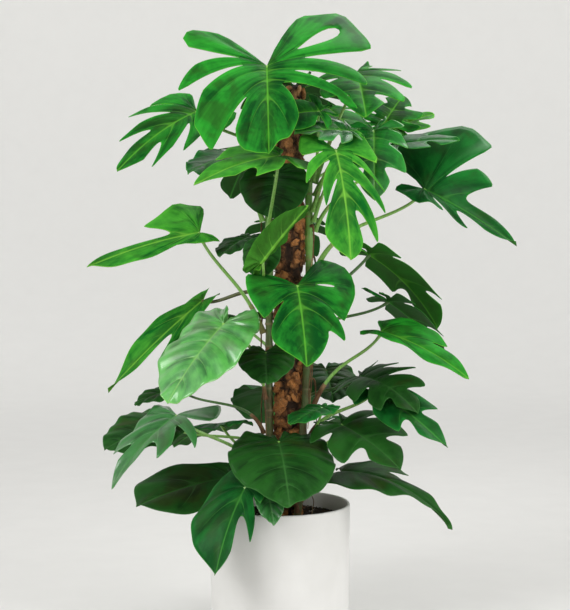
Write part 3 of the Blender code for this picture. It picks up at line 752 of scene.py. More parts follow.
# %% Blade mesh
ROWS = 17
COLUMNS = 11
PLAIN_COLUMNS = 12
WELD = 0.0003
THICKNESS = 0.0010
RIB_HEIGHT = 0.0026
RIB_GROOVE = 0.0012
NO_EDGE = 0.05
KNOTS_PER_U = 10.0


def row_places(leaf):
    """Rows from midrib to margin, with extra ones where a slit begins or ends."""
    places = set(np.linspace(0, 1, ROWS).round(4)) | {0.02}
    for side in (0, 1):
        for slit in half_outline(leaf, side)[2]:
            if slit:
                places |= {round(slit[0], 4), round(slit[0] + 0.015, 4)}
                if len(slit) == 3:
                    places |= {round(slit[2], 4), round(slit[2] - 0.015, 4)}
    places = sorted(places)
    kept = [0.0]
    for place in places[1:]:
        if place - kept[-1] > 0.012:
            kept.append(place)
    return kept


def edge_distance(grid, s, t, before, after):
    """Rough distance in metres from each grid point to the nearest cut edge."""
    length = np.linalg.norm(np.diff(grid, axis=1), axis=2).sum(axis=1)[:, None]
    across = np.linalg.norm(np.diff(grid, axis=0), axis=2).sum(axis=0)[None, :]
    distance = (1 - s) * length
    for slit, gap in ((before, 1 + t), (after, 1 - t)):
        open_here = opening(slit, s) > 0
        distance = np.minimum(distance, np.where(open_here, gap / 2 * across, NO_EDGE))
    return distance


def blade_relief(leaf, place, s, side):
    """Height of the puffed tissue and the waving margin over the plain surface, in metres."""
    chance = random.Random(leaf.seed * 7 + len(leaf.name))
    phase = [chance.uniform(0, 2 * math.pi) for _ in range(4)]
    size = leaf.size[0]
    knots = len(half_outline(leaf, side)[0]) - 1
    puff = leaf.puff * np.abs(np.sin(math.pi * place)) ** 0.8 * np.sin(math.pi * s**0.8)
    puff = puff * np.sin(math.pi * np.clip(place / knots, 0, 1)) ** 0.5
    first = np.sin(2 * math.pi * 0.42 * place + phase[side])
    second = 0.5 * np.sin(2 * math.pi * 1.1 * place + phase[2 + side])
    return puff + leaf.wave * size * s**2 * (first + second) * np.minimum(1, place)


def blade_mesh(leaf, name):
    """The blade as one closed mesh: a top, an underside and a rim between them."""
    bm = bmesh.new()
    layers = {key: bm.verts.layers.float.new(key) for key in ("rib", "edge", "lift")}
    uv = bm.loops.layers.uv.new("veins")
    s = np.array(row_places(leaf))
    for side in (0, 1):
        for lobe in lobes(leaf, side, COLUMNS, PLAIN_COLUMNS, s):
            grid = on_blade(leaf, lobe.x if side == 0 else -lobe.x, lobe.y)
            t = np.linspace(-1, 1, len(grid))[:, None]
            edge = edge_distance(grid, s[None, :], t, lobe.before, lobe.after)
            lift = blade_relief(leaf, lobe.place, s[None, :] + 0 * t, side)
            rows = []
            for i in range(grid.shape[0]):
                rows.append([bm.verts.new(p) for p in grid[i]])
                for j, vert in enumerate(rows[i]):
                    vert[layers["rib"]] = abs(lobe.x[i, j])
                    vert[layers["edge"]] = edge[i, j]
                    vert[layers["lift"]] = lift[i, j]
            for i in range(grid.shape[0] - 1):
                for j in range(grid.shape[1] - 1):
                    corners = [(i, j), (i, j + 1), (i + 1, j + 1), (i + 1, j)]
                    corners = corners if side == 0 else corners[::-1]
                    face = bm.faces.new([rows[a][b] for a, b in corners])
                    for loop, (a, b) in zip(face.loops, corners):
                        loop[uv].uv = (lobe.place[a, b] / KNOTS_PER_U, s[b])
    bmesh.ops.remove_doubles(bm, verts=bm.verts, dist=WELD)
    bmesh.ops.dissolve_degenerate(bm, edges=bm.edges, dist=WELD / 10)
    bm.normal_update()
    return close_blade(leaf, bm, layers, uv, name)


def close_blade(leaf, bm, layers, uv, name):
    """Moves the top by its relief, then adds the underside and the rim."""
    under = bm.verts.layers.float.new("under")
    length = leaf.size[0]
    origin = np.array(leaf.at)
    top = list(bm.verts)
    normals = [vert.normal.copy() for vert in top]
    twins = {}
    for vert, normal in zip(top, normals):
        along = min(1.0, float(np.linalg.norm(np.array(vert.co) - origin)) / length)
        on_rib = math.exp(-((vert[layers["rib"]] / (0.012 * length + 0.001)) ** 2))
        taper = 1 - 0.85 * along
        vert.co += normal * (vert[layers["lift"]] - RIB_GROOVE * on_rib * taper)
        depth = THICKNESS + RIB_HEIGHT * (0.4 + 3 * length) * on_rib * taper
        twin = bm.verts.new(vert.co - normal * depth)
        for layer in layers.values():
            twin[layer] = vert[layer]
        twin[under] = 1.0
        twins[vert] = twin
    border = [edge for edge in bm.edges if len(edge.link_faces) == 1]
    rim = [(edge, edge.link_faces[0]) for edge in border]
    for face in list(bm.faces):
        below = bm.faces.new([twins[loop.vert] for loop in reversed(face.loops)])
        for loop, source in zip(below.loops, reversed(face.loops)):
            loop[uv].uv = source[uv].uv
    for edge, face in rim:
        loop = next(each for each in face.loops if each.edge == edge)
        first, second = loop.vert, loop.link_loop_next.vert
        side = bm.faces.new((second, first, twins[first], twins[second]))
        for corner, source in zip(side.loops, (loop.link_loop_next, loop) * 2):
            corner[uv].uv = source[uv].uv
    tint = bm.verts.layers.float.new("tint")
    for vert in bm.verts:
        vert[tint] = leaf.tint
    mesh = bpy.data.meshes.new(name)
    bm.to_mesh(mesh)
    bm.free()
    mesh.shade_smooth()
    return mesh


print("blade mesh ready")

# %% [markdown]
# ## Stalks
# A leaf stalk is round, thick and slightly winged where it leaves the stem, and slim higher up.
# Just under the blade it swells into a short knee, which lets the leaf turn to the light. One
# tree sweeps a circle along the route and shapes the radius along it. It also stores how far
# along each point is, for the colour.

# %% Stalk tree
STALK_SIDES = 10
STALK_SPANS = 28
STALK_THIN = 0.0022
STALK_PER_LENGTH = 0.006
STALK_BASE = 1.15
STALK_TIP = 0.80
STALK_INSET = 0.004
LEAVE_POLE = 0.8
LEAVE_LEAN = 0.35
ARRIVE_UP = 0.6
ARRIVE_REACH = 0.35


def stalk_radius(leaf):
    return STALK_THIN + STALK_PER_LENGTH * leaf.size[0]


def stalk_route(leaf):
    """The leaf stalk: it climbs beside its stem, arches over and meets the blade from below."""
    along, _, up = leaf_directions(leaf.aim)
    stem, height = leaf.stem
    radius = STEMS[stem][0]
    axis = stem_point(stem, height)
    end = np.array(leaf.at) + along * STALK_INSET + up * CLEARANCE
    out = end - axis
    from_pole = axis - np.array((POLE_X, 0, height))
    out[2] = 0
    out = out / np.linalg.norm(out) + LEAVE_POLE * from_pole / np.linalg.norm(from_pole)
    out /= np.linalg.norm(out)
    start = axis + out * (radius + stalk_radius(leaf) + CLEARANCE)
    reach = np.linalg.norm(end - start)
    chord = (end - start) / reach
    rise = np.array((0, 0, 1.0)) + LEAVE_LEAN * out
    rise /= np.linalg.norm(rise)
    arrive = chord + ARRIVE_UP * up
    arrive /= np.linalg.norm(arrive)
    p1 = start + rise * reach * leaf.rise
    p2 = end - arrive * reach * ARRIVE_REACH
    f = np.linspace(0, 1, STALK_SPANS + 1)[:, None]
    return (1 - f) ** 3 * start + 3 * f * (1 - f) ** 2 * p1 + 3 * f**2 * (1 - f) * p2 + f**3 * end


def sweep_tree(name, sides):
    """Sweeps a circle along a chain of edges: base and tip radius, a knee and a flared foot."""
    tree = Grower(name, Base=0.004, Tip=0.003, Knee=0.3, Foot=0.3, Sides=sides)
    curve = tree.node("GeometryNodeMeshToCurve", {}, {0: tree.get("Geometry")}).outputs[0]
    along = tree.node("GeometryNodeSplineParameter").outputs["Factor"]
    slim = tree.node("ShaderNodeMapRange", {}, {0: along, 3: tree.get("Base"), 4: tree.get("Tip")})
    knee = tree.node("ShaderNodeMapRange", {"interpolation_type": "SMOOTHSTEP"},
                     {0: along, 1: 0.90, 2: 0.975, 3: 0.0, 4: tree.get("Knee")})
    foot = tree.node("ShaderNodeMapRange", {"interpolation_type": "SMOOTHSTEP"},
                     {0: along, 1: 0.0, 2: 0.22, 3: tree.get("Foot"), 4: 0.0})
    swell = tree.maths("ADD", tree.maths("ADD", knee.outputs[0], foot.outputs[0]), 1.0)
    radius = tree.maths("MULTIPLY", slim.outputs[0], swell)
    stored = tree.node("GeometryNodeStoreNamedAttribute", {"data_type": "FLOAT", "domain": "POINT"},
                       {0: curve, 2: "along", 3: along})
    ring = tree.node("GeometryNodeCurvePrimitiveCircle", {"mode": "RADIUS"},
                     {"Resolution": tree.get("Sides"), "Radius": 1.0})
    tube = tree.node("GeometryNodeCurveToMesh", {}, {0: stored.outputs[0], 1: ring.outputs[0],
                                                     "Scale": radius, "Fill Caps": True})
    smooth = tree.node("GeometryNodeSetShadeSmooth", {}, {0: tube.outputs[0]})
    return tree.finish(smooth.outputs[0])


stalk_tree = sweep_tree("sweep a stalk", STALK_SIDES)
print("stalk tree inputs:", sorted(stalk_tree.identifiers))

# %% [markdown]
# ## Leaf finish
# A monstera leaf is waxy: a deep green under a thin clear coat that mirrors the sky. The midrib
# and side veins are paler and yellower, the very edge is a thin yellow-green line, and the tissue
# between veins changes slowly from fresh to deep green. Painted light and shade are mixed in too:
# painted shade in the vein valleys, near the midrib and in long bands along the veins, and painted
# light on the puffed tissue between veins and near the cut edges. The underside is duller and
# browner.
# A painted picture could hold all this, but here everything follows the `veins` map and the
# attributes on the mesh, so the lines sit exactly on the modelled veins at any size.

# %% Leaf finish
VEIN_WIDTH = 0.0011
RIB_WIDTH = 0.0011
EDGE_WIDTH = 0.0013


def leaf_finish(name, deep, fresh, pale, under, shine, gleam, coat):
    """A waxy leaf: deep and fresh greens, a pale vein colour, the underside and three of gloss."""
    finish = Finish(name, IOR=1.45, Coat_IOR=1.5, Coat_Roughness=0.20, Specular_IOR_Level=gleam)
    place = finish.place()
    uv = finish.node("ShaderNodeUVMap", {"uv_map": "veins"})
    split = finish.node("ShaderNodeSeparateXYZ", {}, {0: uv})
    knot = split * KNOTS_PER_U
    out = finish.node("ShaderNodeSeparateXYZ", {}, {0: uv}, output="Y")
    rib = finish.attribute("rib")
    edge = finish.attribute("edge")
    below = finish.attribute("under")
    tint = finish.attribute("tint")
    # Side veins are where the knot count is whole; finer ones lie between them
    reach = (out * 0.12).most(0.004)
    main = (knot.fold(1.0) * reach * 1.6).ramp(VEIN_WIDTH * 1.6, VEIN_WIDTH * 0.3)
    main = main * out.ramp(1.0, 0.55)
    fine = (knot.fold(1 / 3) * reach * 1.6).ramp(VEIN_WIDTH, VEIN_WIDTH * 0.2) * out.ramp(1.0, 0.2)
    middle = rib.ramp(RIB_WIDTH * 2.2, RIB_WIDTH * 0.5)
    near_rib = rib.ramp(0.022, 0.002)
    margin = edge.ramp(EDGE_WIDTH, EDGE_WIDTH * 0.3)
    near_edge = edge.ramp(0.018, 0.001)
    patch = finish.noise(place, 13.0, 3.0, 0.55, 0.8)
    # Painted shadow bands along the side veins: where this noise is low, the leaf is painted darker
    painted_shade_band = finish.noise(finish.scaled(uv, (20.0, 1.3, 1.0)), 1.0, 3.0, 0.55)
    fleck = finish.noise(place, 160.0, 4.0, 0.65)
    streak = finish.noise(finish.scaled(uv, (60.0, 3.0, 1.0)), 1.0, 4.0, 0.6)
    # Painted light and shade in the fresh share: painted light on the puffed tissue between side
    # veins
    # and near cut edges, painted shade near the midrib (outer is low there), and the streaks along
    # the veins are partly leaf texture and partly painted gloss
    between = (knot.fold(1.0) * 2.0) ** 0.7
    outer = rib.ramp(0.004, 0.075)
    fresh_and_lit_share = patch.ramp(0.40, 0.60) * 0.35 + painted_shade_band.ramp(0.38, 0.62) * 0.35 - 0.12
    fresh_and_lit_share = fresh_and_lit_share + outer * 0.35 + near_edge * 0.25 + tint
    fresh_and_lit_share = fresh_and_lit_share + (streak - 0.5) * 1.1 + (fleck - 0.5) * 0.35 + between * 0.14 - 0.14
    body = finish.mix(fresh_and_lit_share, deep, fresh)
    bronze = (deep[0] * 3 + 0.012, deep[1] * 0.75, deep[2])
    age = finish.noise(place, 9.0, 3.0, 0.5, 1.4)
    body = finish.mix(age.ramp(0.50, 0.66) * (1 - near_edge) * 0.50, body, bronze)
    # Painted shade: the vein valleys and the low parts of the shadow bands are painted darker
    painted_vein_shade = knot.fold(1.0).ramp(0.30, 0.02) * painted_shade_band.ramp(0.56, 0.42) * (1 - near_edge)
    body = finish.mix(painted_vein_shade * 0.55, body, tuple(c * 0.45 for c in deep))
    veined = finish.mix(near_rib * 0.10 + main * 0.32 + fine * 0.12, body, pale)
    ribbed = finish.mix(middle * 0.7, veined, pale)
    edged = finish.mix(margin * 0.75, ribbed, tuple(min(1.0, c * 1.25) for c in pale))
    back = finish.mix(fresh_and_lit_share * 0.30, under, fresh)
    back = finish.mix(middle * 0.6 + main * 0.35 + fleck * 0.10, back, pale)
    finish.set("Base Color", finish.mix(below, edged, back))
    rough = shine + fleck * 0.10 + patch * 0.08 + below * 0.25 + middle * 0.08
    finish.set("Roughness", rough)
    finish.set("Coat Weight", (1 - below) * (coat - near_rib * coat * 0.3))
    ridges = (streak - 0.5) * 0.5 + fleck * 0.35 - main * 0.8 - fine * 0.35
    finish.relief(ridges, 0.0009, 0.55)
    return finish


UNDERSIDE = (0.022, 0.066, 0.014)
# it sits in the plant: painted light and painted shade
# sunlit, shaded and deep are lit and shaded copies of one leaf green, given to each leaf by where
LEAF_FINISHES = {
    "sunlit": leaf_finish("sunlit_leaf", (0.003, 0.066, 0.009), (0.024, 0.310, 0.024),
                          (0.110, 0.400, 0.035), (0.024, 0.095, 0.014), 0.46, 0.05, 0.0),
    "fresh": leaf_finish("fresh_leaf", (0.004, 0.120, 0.014), (0.072, 0.400, 0.030),
                         (0.190, 0.500, 0.055), (0.028, 0.110, 0.014), 0.46, 0.05, 0.0),
    "shaded": leaf_finish("shaded_leaf", (0.003, 0.062, 0.010), (0.010, 0.170, 0.022),
                          (0.055, 0.260, 0.038), UNDERSIDE, 0.38, 0.10, 0.03),
    "deep": leaf_finish("deep_leaf", (0.006, 0.038, 0.006), (0.016, 0.095, 0.012),
                        (0.040, 0.150, 0.030), UNDERSIDE, 0.40, 0.11, 0.03),
    "polished": leaf_finish("polished_leaf", (0.003, 0.070, 0.011), (0.020, 0.270, 0.028),
                            (0.120, 0.400, 0.050), UNDERSIDE, 0.20, 0.35, 0.35),
    "waxy": leaf_finish("waxy_leaf", (0.016, 0.170, 0.030), (0.100, 0.420, 0.075),
                        (0.210, 0.500, 0.110), UNDERSIDE, 0.26, 0.60, 0.85),
    "sheen": leaf_finish("sheen_leaf", (0.007, 0.070, 0.014), (0.034, 0.190, 0.038),
                         (0.080, 0.260, 0.070), UNDERSIDE, 0.26, 0.50, 0.70),
}
print("leaf finishes:", ", ".join(LEAF_FINISHES))

# %% [markdown]
# ## Stalk finish
# Stalks are the colour of young peas where light reaches them, with fine streaks along their
# length and a browner foot where the old leaf sheath dried.

# %% Stalk finish


def stalk_finish(name, green, light, brown):
    finish = Finish(name, Roughness=0.38, Coat_Weight=0.2, Coat_Roughness=0.25)
    place = finish.place()
    along = finish.attribute("along")
    streak = finish.noise(finish.scaled(place, (1.0, 1.0, 0.08)), 420.0, 3.0, 0.6)
    patch = finish.noise(place, 28.0, 3.0, 0.55)
    dots = finish.cells(place, 900.0).ramp(0.16, 0.05)
    body = finish.mix(streak.ramp(0.35, 0.7) * 0.6 + along * 0.3, green, light)
    body = finish.mix(dots * 0.25, body, light)
    foot = (along.ramp(0.16, 0.0) * 0.8 + patch.ramp(0.60, 0.75) * 0.3) * patch.ramp(0.25, 0.6)
    finish.set("Base Color", finish.mix(foot, body, brown))
    finish.set("Roughness", 0.34 + foot * 0.3 + patch * 0.1)
    finish.relief(streak + dots * 0.3, 0.0006, 0.5)
    return finish


HUSK_BROWN = (0.160, 0.080, 0.030)
STALK_FINISHES = {
    "bright": stalk_finish(
        "bright_stalk", (0.130, 0.360, 0.045), (0.330, 0.580, 0.140), HUSK_BROWN
    ),
    "dark": stalk_finish("dark_stalk", (0.030, 0.090, 0.018), (0.090, 0.210, 0.045), HUSK_BROWN),
    "olive": stalk_finish("olive_stalk", (0.075, 0.085, 0.022), (0.150, 0.170, 0.055), HUSK_BROWN),
}
print("stalk finishes:", ", ".join(STALK_FINISHES))

# %% [markdown]
# ## Put the leaves together
# A blade and its stalk are one living piece, so they become one mesh with two finishes. Each
# stands for the CAD leaf of the same name.

# %% Leaves


def joined(name, *meshes):
    """One mesh from several, with their finishes and attributes kept."""
    objects = [new_object(f"{name}_{k}", mesh) for k, mesh in enumerate(meshes)]
    for obj in bpy.context.selected_objects:
        obj.select_set(False)
    for obj in objects:
        obj.select_set(True)
    bpy.context.view_layer.objects.active = objects[0]
    bpy.ops.object.join()
    piece = bpy.context.view_layer.objects.active
    piece.name = name
    piece.data.name = name
    return piece


def make_leaf(leaf):
    short = leaf.name.replace("leaf_", "")
    blade = blade_mesh(leaf, f"{short}_blade")
    blade.materials.append(LEAF_FINISHES[leaf.finish].material)
    radius = stalk_radius(leaf)
    stalk = grow(f"{short}_stalk", stalk_tree, path_mesh("route", stalk_route(leaf)),
                 STALK_FINISHES[leaf.stalk], Base=radius * STALK_BASE, Tip=radius * STALK_TIP)
    return hand_in(joined(f"{short}_leaf", blade, stalk), "leaf", leaf.name)


for leaf in LEAVES:
    make_leaf(leaf)

# %% [markdown]
# ## Planter
# A plain planter like this is slip-cast stoneware or spun fibre clay, sprayed a satin white. Its
# whole shape is one profile turned about an axis, so Geometry Nodes makes it: a short route for
# the profile, copied round a circle and skinned. The profile is drawn in full here, inside and
# out, with a soft rim and a small foot, so that light rolls over the edges.

# %% Planter
POT_SIDES = 160
RIM_STEPS = 8
FOOT_ROUND = 0.004
WALL_STEPS = 16


def arc(centre, radius, first, last, steps):
    """Points of an arc in the profile plane, from one angle to another in degrees."""
    turns = np.radians(np.linspace(first, last, steps + 1))
    return [(centre[0] + radius * math.cos(a), centre[1] + radius * math.sin(a)) for a in turns]


def wall_line(start, end, steps):
    """Evenly spaced points between two profile points, without the last."""
    shares = np.linspace(0, 1, steps, endpoint=False)[1:]
    return [tuple(np.array(start) * (1 - f) + np.array(end) * f) for f in shares]


def planter_profile():
    rim = POT_WALL / 2
    outer = (POT_RADIUS, POT_HEIGHT - rim)
    inner = (POT_RADIUS - POT_WALL, POT_HEIGHT - rim)
    points = [(0.0002, 0.0), (POT_FOOT * 0.5, 0.0)]
    points += arc((POT_FOOT - FOOT_ROUND, FOOT_ROUND), FOOT_ROUND, -90, 0, 4)
    points += wall_line((POT_FOOT, FOOT_ROUND), outer, WALL_STEPS)
    points += arc((POT_RADIUS - rim, POT_HEIGHT - rim), rim, 0, 180, RIM_STEPS)
    points += wall_line(inner, (POT_FOOT - POT_WALL, POT_FLOOR), WALL_STEPS)
    points += [(POT_FOOT - POT_WALL, POT_FLOOR), (0.0002, POT_FLOOR)]
    return [(r, 0.0, z) for r, z in points]


def turn_tree():
    """Turns a profile in the XZ plane about Z: one ring of points for each profile point."""
    tree = Grower("turn a profile", Sides=POT_SIDES)
    profile = tree.node("GeometryNodeMeshToCurve", {}, {0: tree.get("Geometry")}).outputs[0]
    circle = tree.node("GeometryNodeCurvePrimitiveCircle", {"mode": "RADIUS"},
                       {"Resolution": tree.get("Sides"), "Radius": 1.0})
    # Sweeping the profile round a unit circle gives each point its turn in Position
    tag = tree.node("GeometryNodeInputPosition")
    stored = tree.node("GeometryNodeStoreNamedAttribute",
                       {"data_type": "FLOAT_VECTOR", "domain": "POINT"},
                       {0: profile, 2: "profile", 3: tag.outputs[0]})
    tangent = tree.node("GeometryNodeInputPosition")
    turned = tree.node("GeometryNodeStoreNamedAttribute",
                       {"data_type": "FLOAT_VECTOR", "domain": "POINT"},
                       {0: circle.outputs[0], 2: "turn", 3: tangent.outputs[0]})
    skin = tree.node("GeometryNodeCurveToMesh", {}, {0: turned.outputs[0], 1: stored.outputs[0]})
    ring = tree.node("GeometryNodeInputNamedAttribute", {"data_type": "FLOAT_VECTOR"}, {0: "turn"})
    drawn = tree.node("GeometryNodeInputNamedAttribute", {"data_type": "FLOAT_VECTOR"},
                      {0: "profile"})
    split = tree.node("ShaderNodeSeparateXYZ", {}, {0: drawn.outputs[0]})
    out = tree.node("ShaderNodeVectorMath", {"operation": "SCALE"},
                    {0: ring.outputs[0], "Scale": split.outputs["X"]})
    up = tree.node("ShaderNodeCombineXYZ", {}, {2: split.outputs["Z"]})
    place = tree.node("ShaderNodeVectorMath", {"operation": "ADD"},
                      {0: out.outputs[0], 1: up.outputs[0]})
    moved = tree.node("GeometryNodeSetPosition", {}, {0: skin.outputs[0], 2: place.outputs[0]})
    welded = tree.node("GeometryNodeMergeByDistance", {}, {0: moved.outputs[0], 2: 0.0004})
    smooth = tree.node("GeometryNodeSetShadeSmooth", {}, {0: welded.outputs[0]})
    return tree.finish(smooth.outputs[0])


def outward(mesh):
    """Turns every face to look out of the closed shape."""
    bm = bmesh.new()
    bm.from_mesh(mesh)
    bmesh.ops.recalc_face_normals(bm, faces=bm.faces)
    bm.to_mesh(mesh)
    bm.free()
    return mesh


def planter_finish():
    """Satin white spray: a faint orange-peel, soft handling marks and a little splashed soil."""
    finish = Finish("satin_white", IOR=1.48, Coat_Roughness=0.35)
    place = finish.place()
    height = finish.node("ShaderNodeSeparateXYZ", {}, {0: place}, output="Z")
    cloud = finish.noise(place, 7.0, 4.0, 0.55)
    peel = finish.noise(place, 850.0, 2.0, 0.5)
    smear = finish.noise(finish.scaled(place, (1.0, 1.0, 0.35)), 26.0, 5.0, 0.6)
    speck = finish.cells(place, 150.0).ramp(0.10, 0.05) * finish.noise(place, 31.0).ramp(0.60, 0.72)
    foot_dust = height.ramp(0.020, 0.0) * smear.ramp(0.45, 0.70)
    body = finish.mix(cloud.ramp(0.3, 0.7), (0.740, 0.732, 0.712), (0.800, 0.792, 0.775))
    body = finish.mix(smear.ramp(0.55, 0.80) * 0.30, body, (0.740, 0.725, 0.700))
    body = finish.mix(foot_dust * 0.45, body, (0.480, 0.430, 0.370))
    body = finish.mix(speck * 0.35, body, (0.330, 0.260, 0.190))
    finish.set("Base Color", body)
    finish.set("Roughness", 0.36 + smear.ramp(0.35, 0.75) * 0.14 + foot_dust * 0.2)
    finish.set("Coat Weight", 0.22 - cloud * 0.12)
    finish.relief(peel + smear * 0.6, 0.00025, 0.35)
    return finish


profile_mesh = path_mesh("planter_profile", planter_profile())
planter = new_object("planter", outward(grow("planter", turn_tree(), profile_mesh,
                                             planter_finish(), Sides=POT_SIDES)))
hand_in(planter, "pot", "pot")

# %% [markdown]
# ## Potting mix
# Potting mix is peat and bark with a few pale grains of perlite. Seen from above the rim, what
# shows is a dark, crumbly, uneven surface that dips where water runs to the wall. The bulk is a
# disc pushed up and down by noise, and hundreds of small crumbs lie on it.

# %% Potting mix
SOIL_RINGS = 40
SOIL_SIDES = 96
SOIL_UNDER = 0.030
SOIL_GAP = 0.0008
CRUMBS = 2600


def soil_bed():
    """A thick disc of mix with a gently uneven top, closed below."""
    reach = POT_RADIUS - POT_WALL - SOIL_GAP
    chance = random.Random(11)
    waves = [(chance.uniform(30, 90), chance.uniform(0, 6.3), chance.uniform(0, 6.3))
             for _ in range(10)]
    bm = bmesh.new()
    rings = []
    for k in range(1, SOIL_RINGS + 1):
        radius = reach * (k / SOIL_RINGS) ** 0.8
        ring = []
        for j in range(SOIL_SIDES):
            turn = 2 * math.pi * j / SOIL_SIDES
            x, y = radius * math.cos(turn), radius * math.sin(turn)
            bumps = sum(math.sin(f * (x * math.cos(d) + y * math.sin(d)) + p) for f, d, p in waves)
            dip = 0.005 * (radius / reach) ** 3
            ring.append(bm.verts.new((x, y, SOIL_LEVEL - 0.0035 - dip + 0.0005 * bumps)))
        rings.append(ring)
    lower = [bm.verts.new((v.co.x, v.co.y, SOIL_LEVEL - SOIL_UNDER)) for v in rings[-1]]
    rings.append(lower)
    for low, high in zip(rings, rings[1:]):
        for j in range(SOIL_SIDES):
            bm.faces.new((low[j], high[j], high[(j + 1) % SOIL_SIDES], low[(j + 1) % SOIL_SIDES]))
    bm.faces.new(rings[0])
    bm.faces.new(lower[::-1])
    bmesh.ops.recalc_face_normals(bm, faces=bm.faces)
    mesh = bpy.data.meshes.new("soil_bed")
    bm.to_mesh(mesh)
    bm.free()
    mesh.shade_smooth()
    return mesh


def scatter_tree(name, subdivisions, flatten):
    """Lays rough lumps over the upward faces of a mesh and keeps only the lumps."""
    tree = Grower(name, Density=1000.0, Smallest=0.3, Largest=1.0, Size=0.004, Seed=1)
    normal = tree.node("GeometryNodeInputNormal")
    upward = tree.node("ShaderNodeSeparateXYZ", {}, {0: normal.outputs[0]})
    on_top = tree.maths("GREATER_THAN", upward.outputs["Z"], 0.5)
    points = tree.node("GeometryNodeDistributePointsOnFaces", {},
                       {0: tree.get("Geometry"), 1: on_top, 4: tree.get("Density"),
                        6: tree.get("Seed")})
    lump = tree.node("GeometryNodeMeshIcoSphere", {},
                     {"Radius": tree.get("Size"), "Subdivisions": subdivisions})
    spot = tree.node("GeometryNodeInputPosition")
    noise = tree.node("ShaderNodeTexNoise", {}, {"Vector": spot.outputs[0], "Scale": 240.0})
    lean = tree.node("ShaderNodeVectorMath", {"operation": "SUBTRACT"},
                     {0: noise.outputs["Color"], 1: (0.5, 0.5, 0.5)})
    push = tree.node("ShaderNodeVectorMath", {"operation": "SCALE"},
                     {0: lean.outputs[0], "Scale": 0.006})
    rough = tree.node("GeometryNodeSetPosition", {}, {0: lump.outputs[0], 3: push.outputs[0]})
    squash = {0: rough.outputs[0], "Scale": (1, 0.75, flatten)}
    flat = tree.node("GeometryNodeTransform", {}, squash)
    turn = tree.node("FunctionNodeRandomValue", {"data_type": "FLOAT_VECTOR"},
                     {0: (0, 0, 0), 1: (6.28, 6.28, 6.28), 8: tree.get("Seed")})
    size = tree.node("FunctionNodeRandomValue", {"data_type": "FLOAT"},
                     {2: tree.get("Smallest"), 3: tree.get("Largest"), 8: tree.get("Seed")})
    laid = tree.node("GeometryNodeInstanceOnPoints", {},
                     {0: points.outputs[0], 2: flat.outputs[0], 5: turn.outputs[0],
                      6: size.outputs[1]})
    pick = tree.node("FunctionNodeRandomValue", {"data_type": "FLOAT"}, {2: 0.0, 3: 1.0, 8: 77})
    stored = tree.node("GeometryNodeStoreNamedAttribute",
                       {"data_type": "FLOAT", "domain": "INSTANCE"},
                       {0: laid.outputs[0], 2: "shade", 3: pick.outputs[1]})
    return tree.finish(stored.outputs[0])


def soil_finish(name, pale_share):
    """Dark peat and bark; a share of the lumps are pale perlite."""
    finish = Finish(name, IOR=1.4)
    place = finish.place()
    shade = finish.attribute("shade")
    clump = finish.noise(place, 90.0, 5.0, 0.7)
    grain = finish.noise(place, 600.0, 4.0, 0.7)
    fibre = finish.noise(finish.scaled(place, (1.0, 0.25, 1.0)), 480.0, 3.0, 0.6)
    body = finish.mix(clump.ramp(0.35, 0.7), (0.012, 0.008, 0.005), (0.045, 0.028, 0.017))
    body = finish.mix(grain.ramp(0.55, 0.75) * 0.6, body, (0.085, 0.052, 0.030))
    body = finish.mix(shade.ramp(0.55, 0.80) * 0.35, body, (0.110, 0.060, 0.030))
    body = finish.mix(shade.ramp(1 - pale_share, 1 - pale_share + 0.004), body, (0.55, 0.53, 0.48))
    finish.set("Base Color", body)
    finish.set("Roughness", 0.95 - clump.ramp(0.5, 0.2) * 0.25)
    finish.relief(clump + grain * 0.6 + fibre * 0.4, 0.0015, 0.9)
    return finish


bed = soil_bed()
crumb_finish = soil_finish("potting_mix_crumbs", 0.05)
crumbs = grow("crumbs", scatter_tree("lay crumbs", 1, 0.7), bed.copy(), crumb_finish,
              Density=CRUMBS / 0.056, Size=0.0032, Smallest=0.25, Largest=1.1, Seed=4)
bed.materials.append(soil_finish("potting_mix", 0.0).material)
hand_in(joined("potting_mix", bed, crumbs), "soil", "soil")

# %% [markdown]
# ## Coir pole
# The pole is a tube packed and wound with coconut husk. Up close it is a stack of torn husk
# chunks, orange-brown outside and nearly black in the gaps, where the black is painted shade,
# with pale fibre ends standing out; near the top the husk is painted paler as a painted highlight.
# The core is a column pushed about by noise, chunks of torn husk cover it, and fine curved
# fibres stand out between them. Chunks and fibres are scattered by Geometry Nodes.

# %% Coir pole
POLE_FOOT = 0.200
CORE_SIDES = 64
CORE_ROWS = 300


def lattice_noise(points, scale, seed):
    """Smooth noise from -1 to 1 at many points, from random values at grid corners."""
    spots = np.asarray(points) * scale
    cell = np.floor(spots).astype(int)
    part = spots - cell
    part = part * part * (3 - 2 * part)
    total = 0.0
    for corner in range(8):
        step = np.array([corner >> 2 & 1, corner >> 1 & 1, corner & 1])
        x, y, z = (cell + step).T
        value = np.sin(x * 127.1 + y * 311.7 + z * 74.7 + seed * 53.3) * 43758.5453
        value = (value - np.floor(value)) * 2 - 1
        total = total + value * np.prod(np.where(step, part, 1 - part), axis=1)
    return total


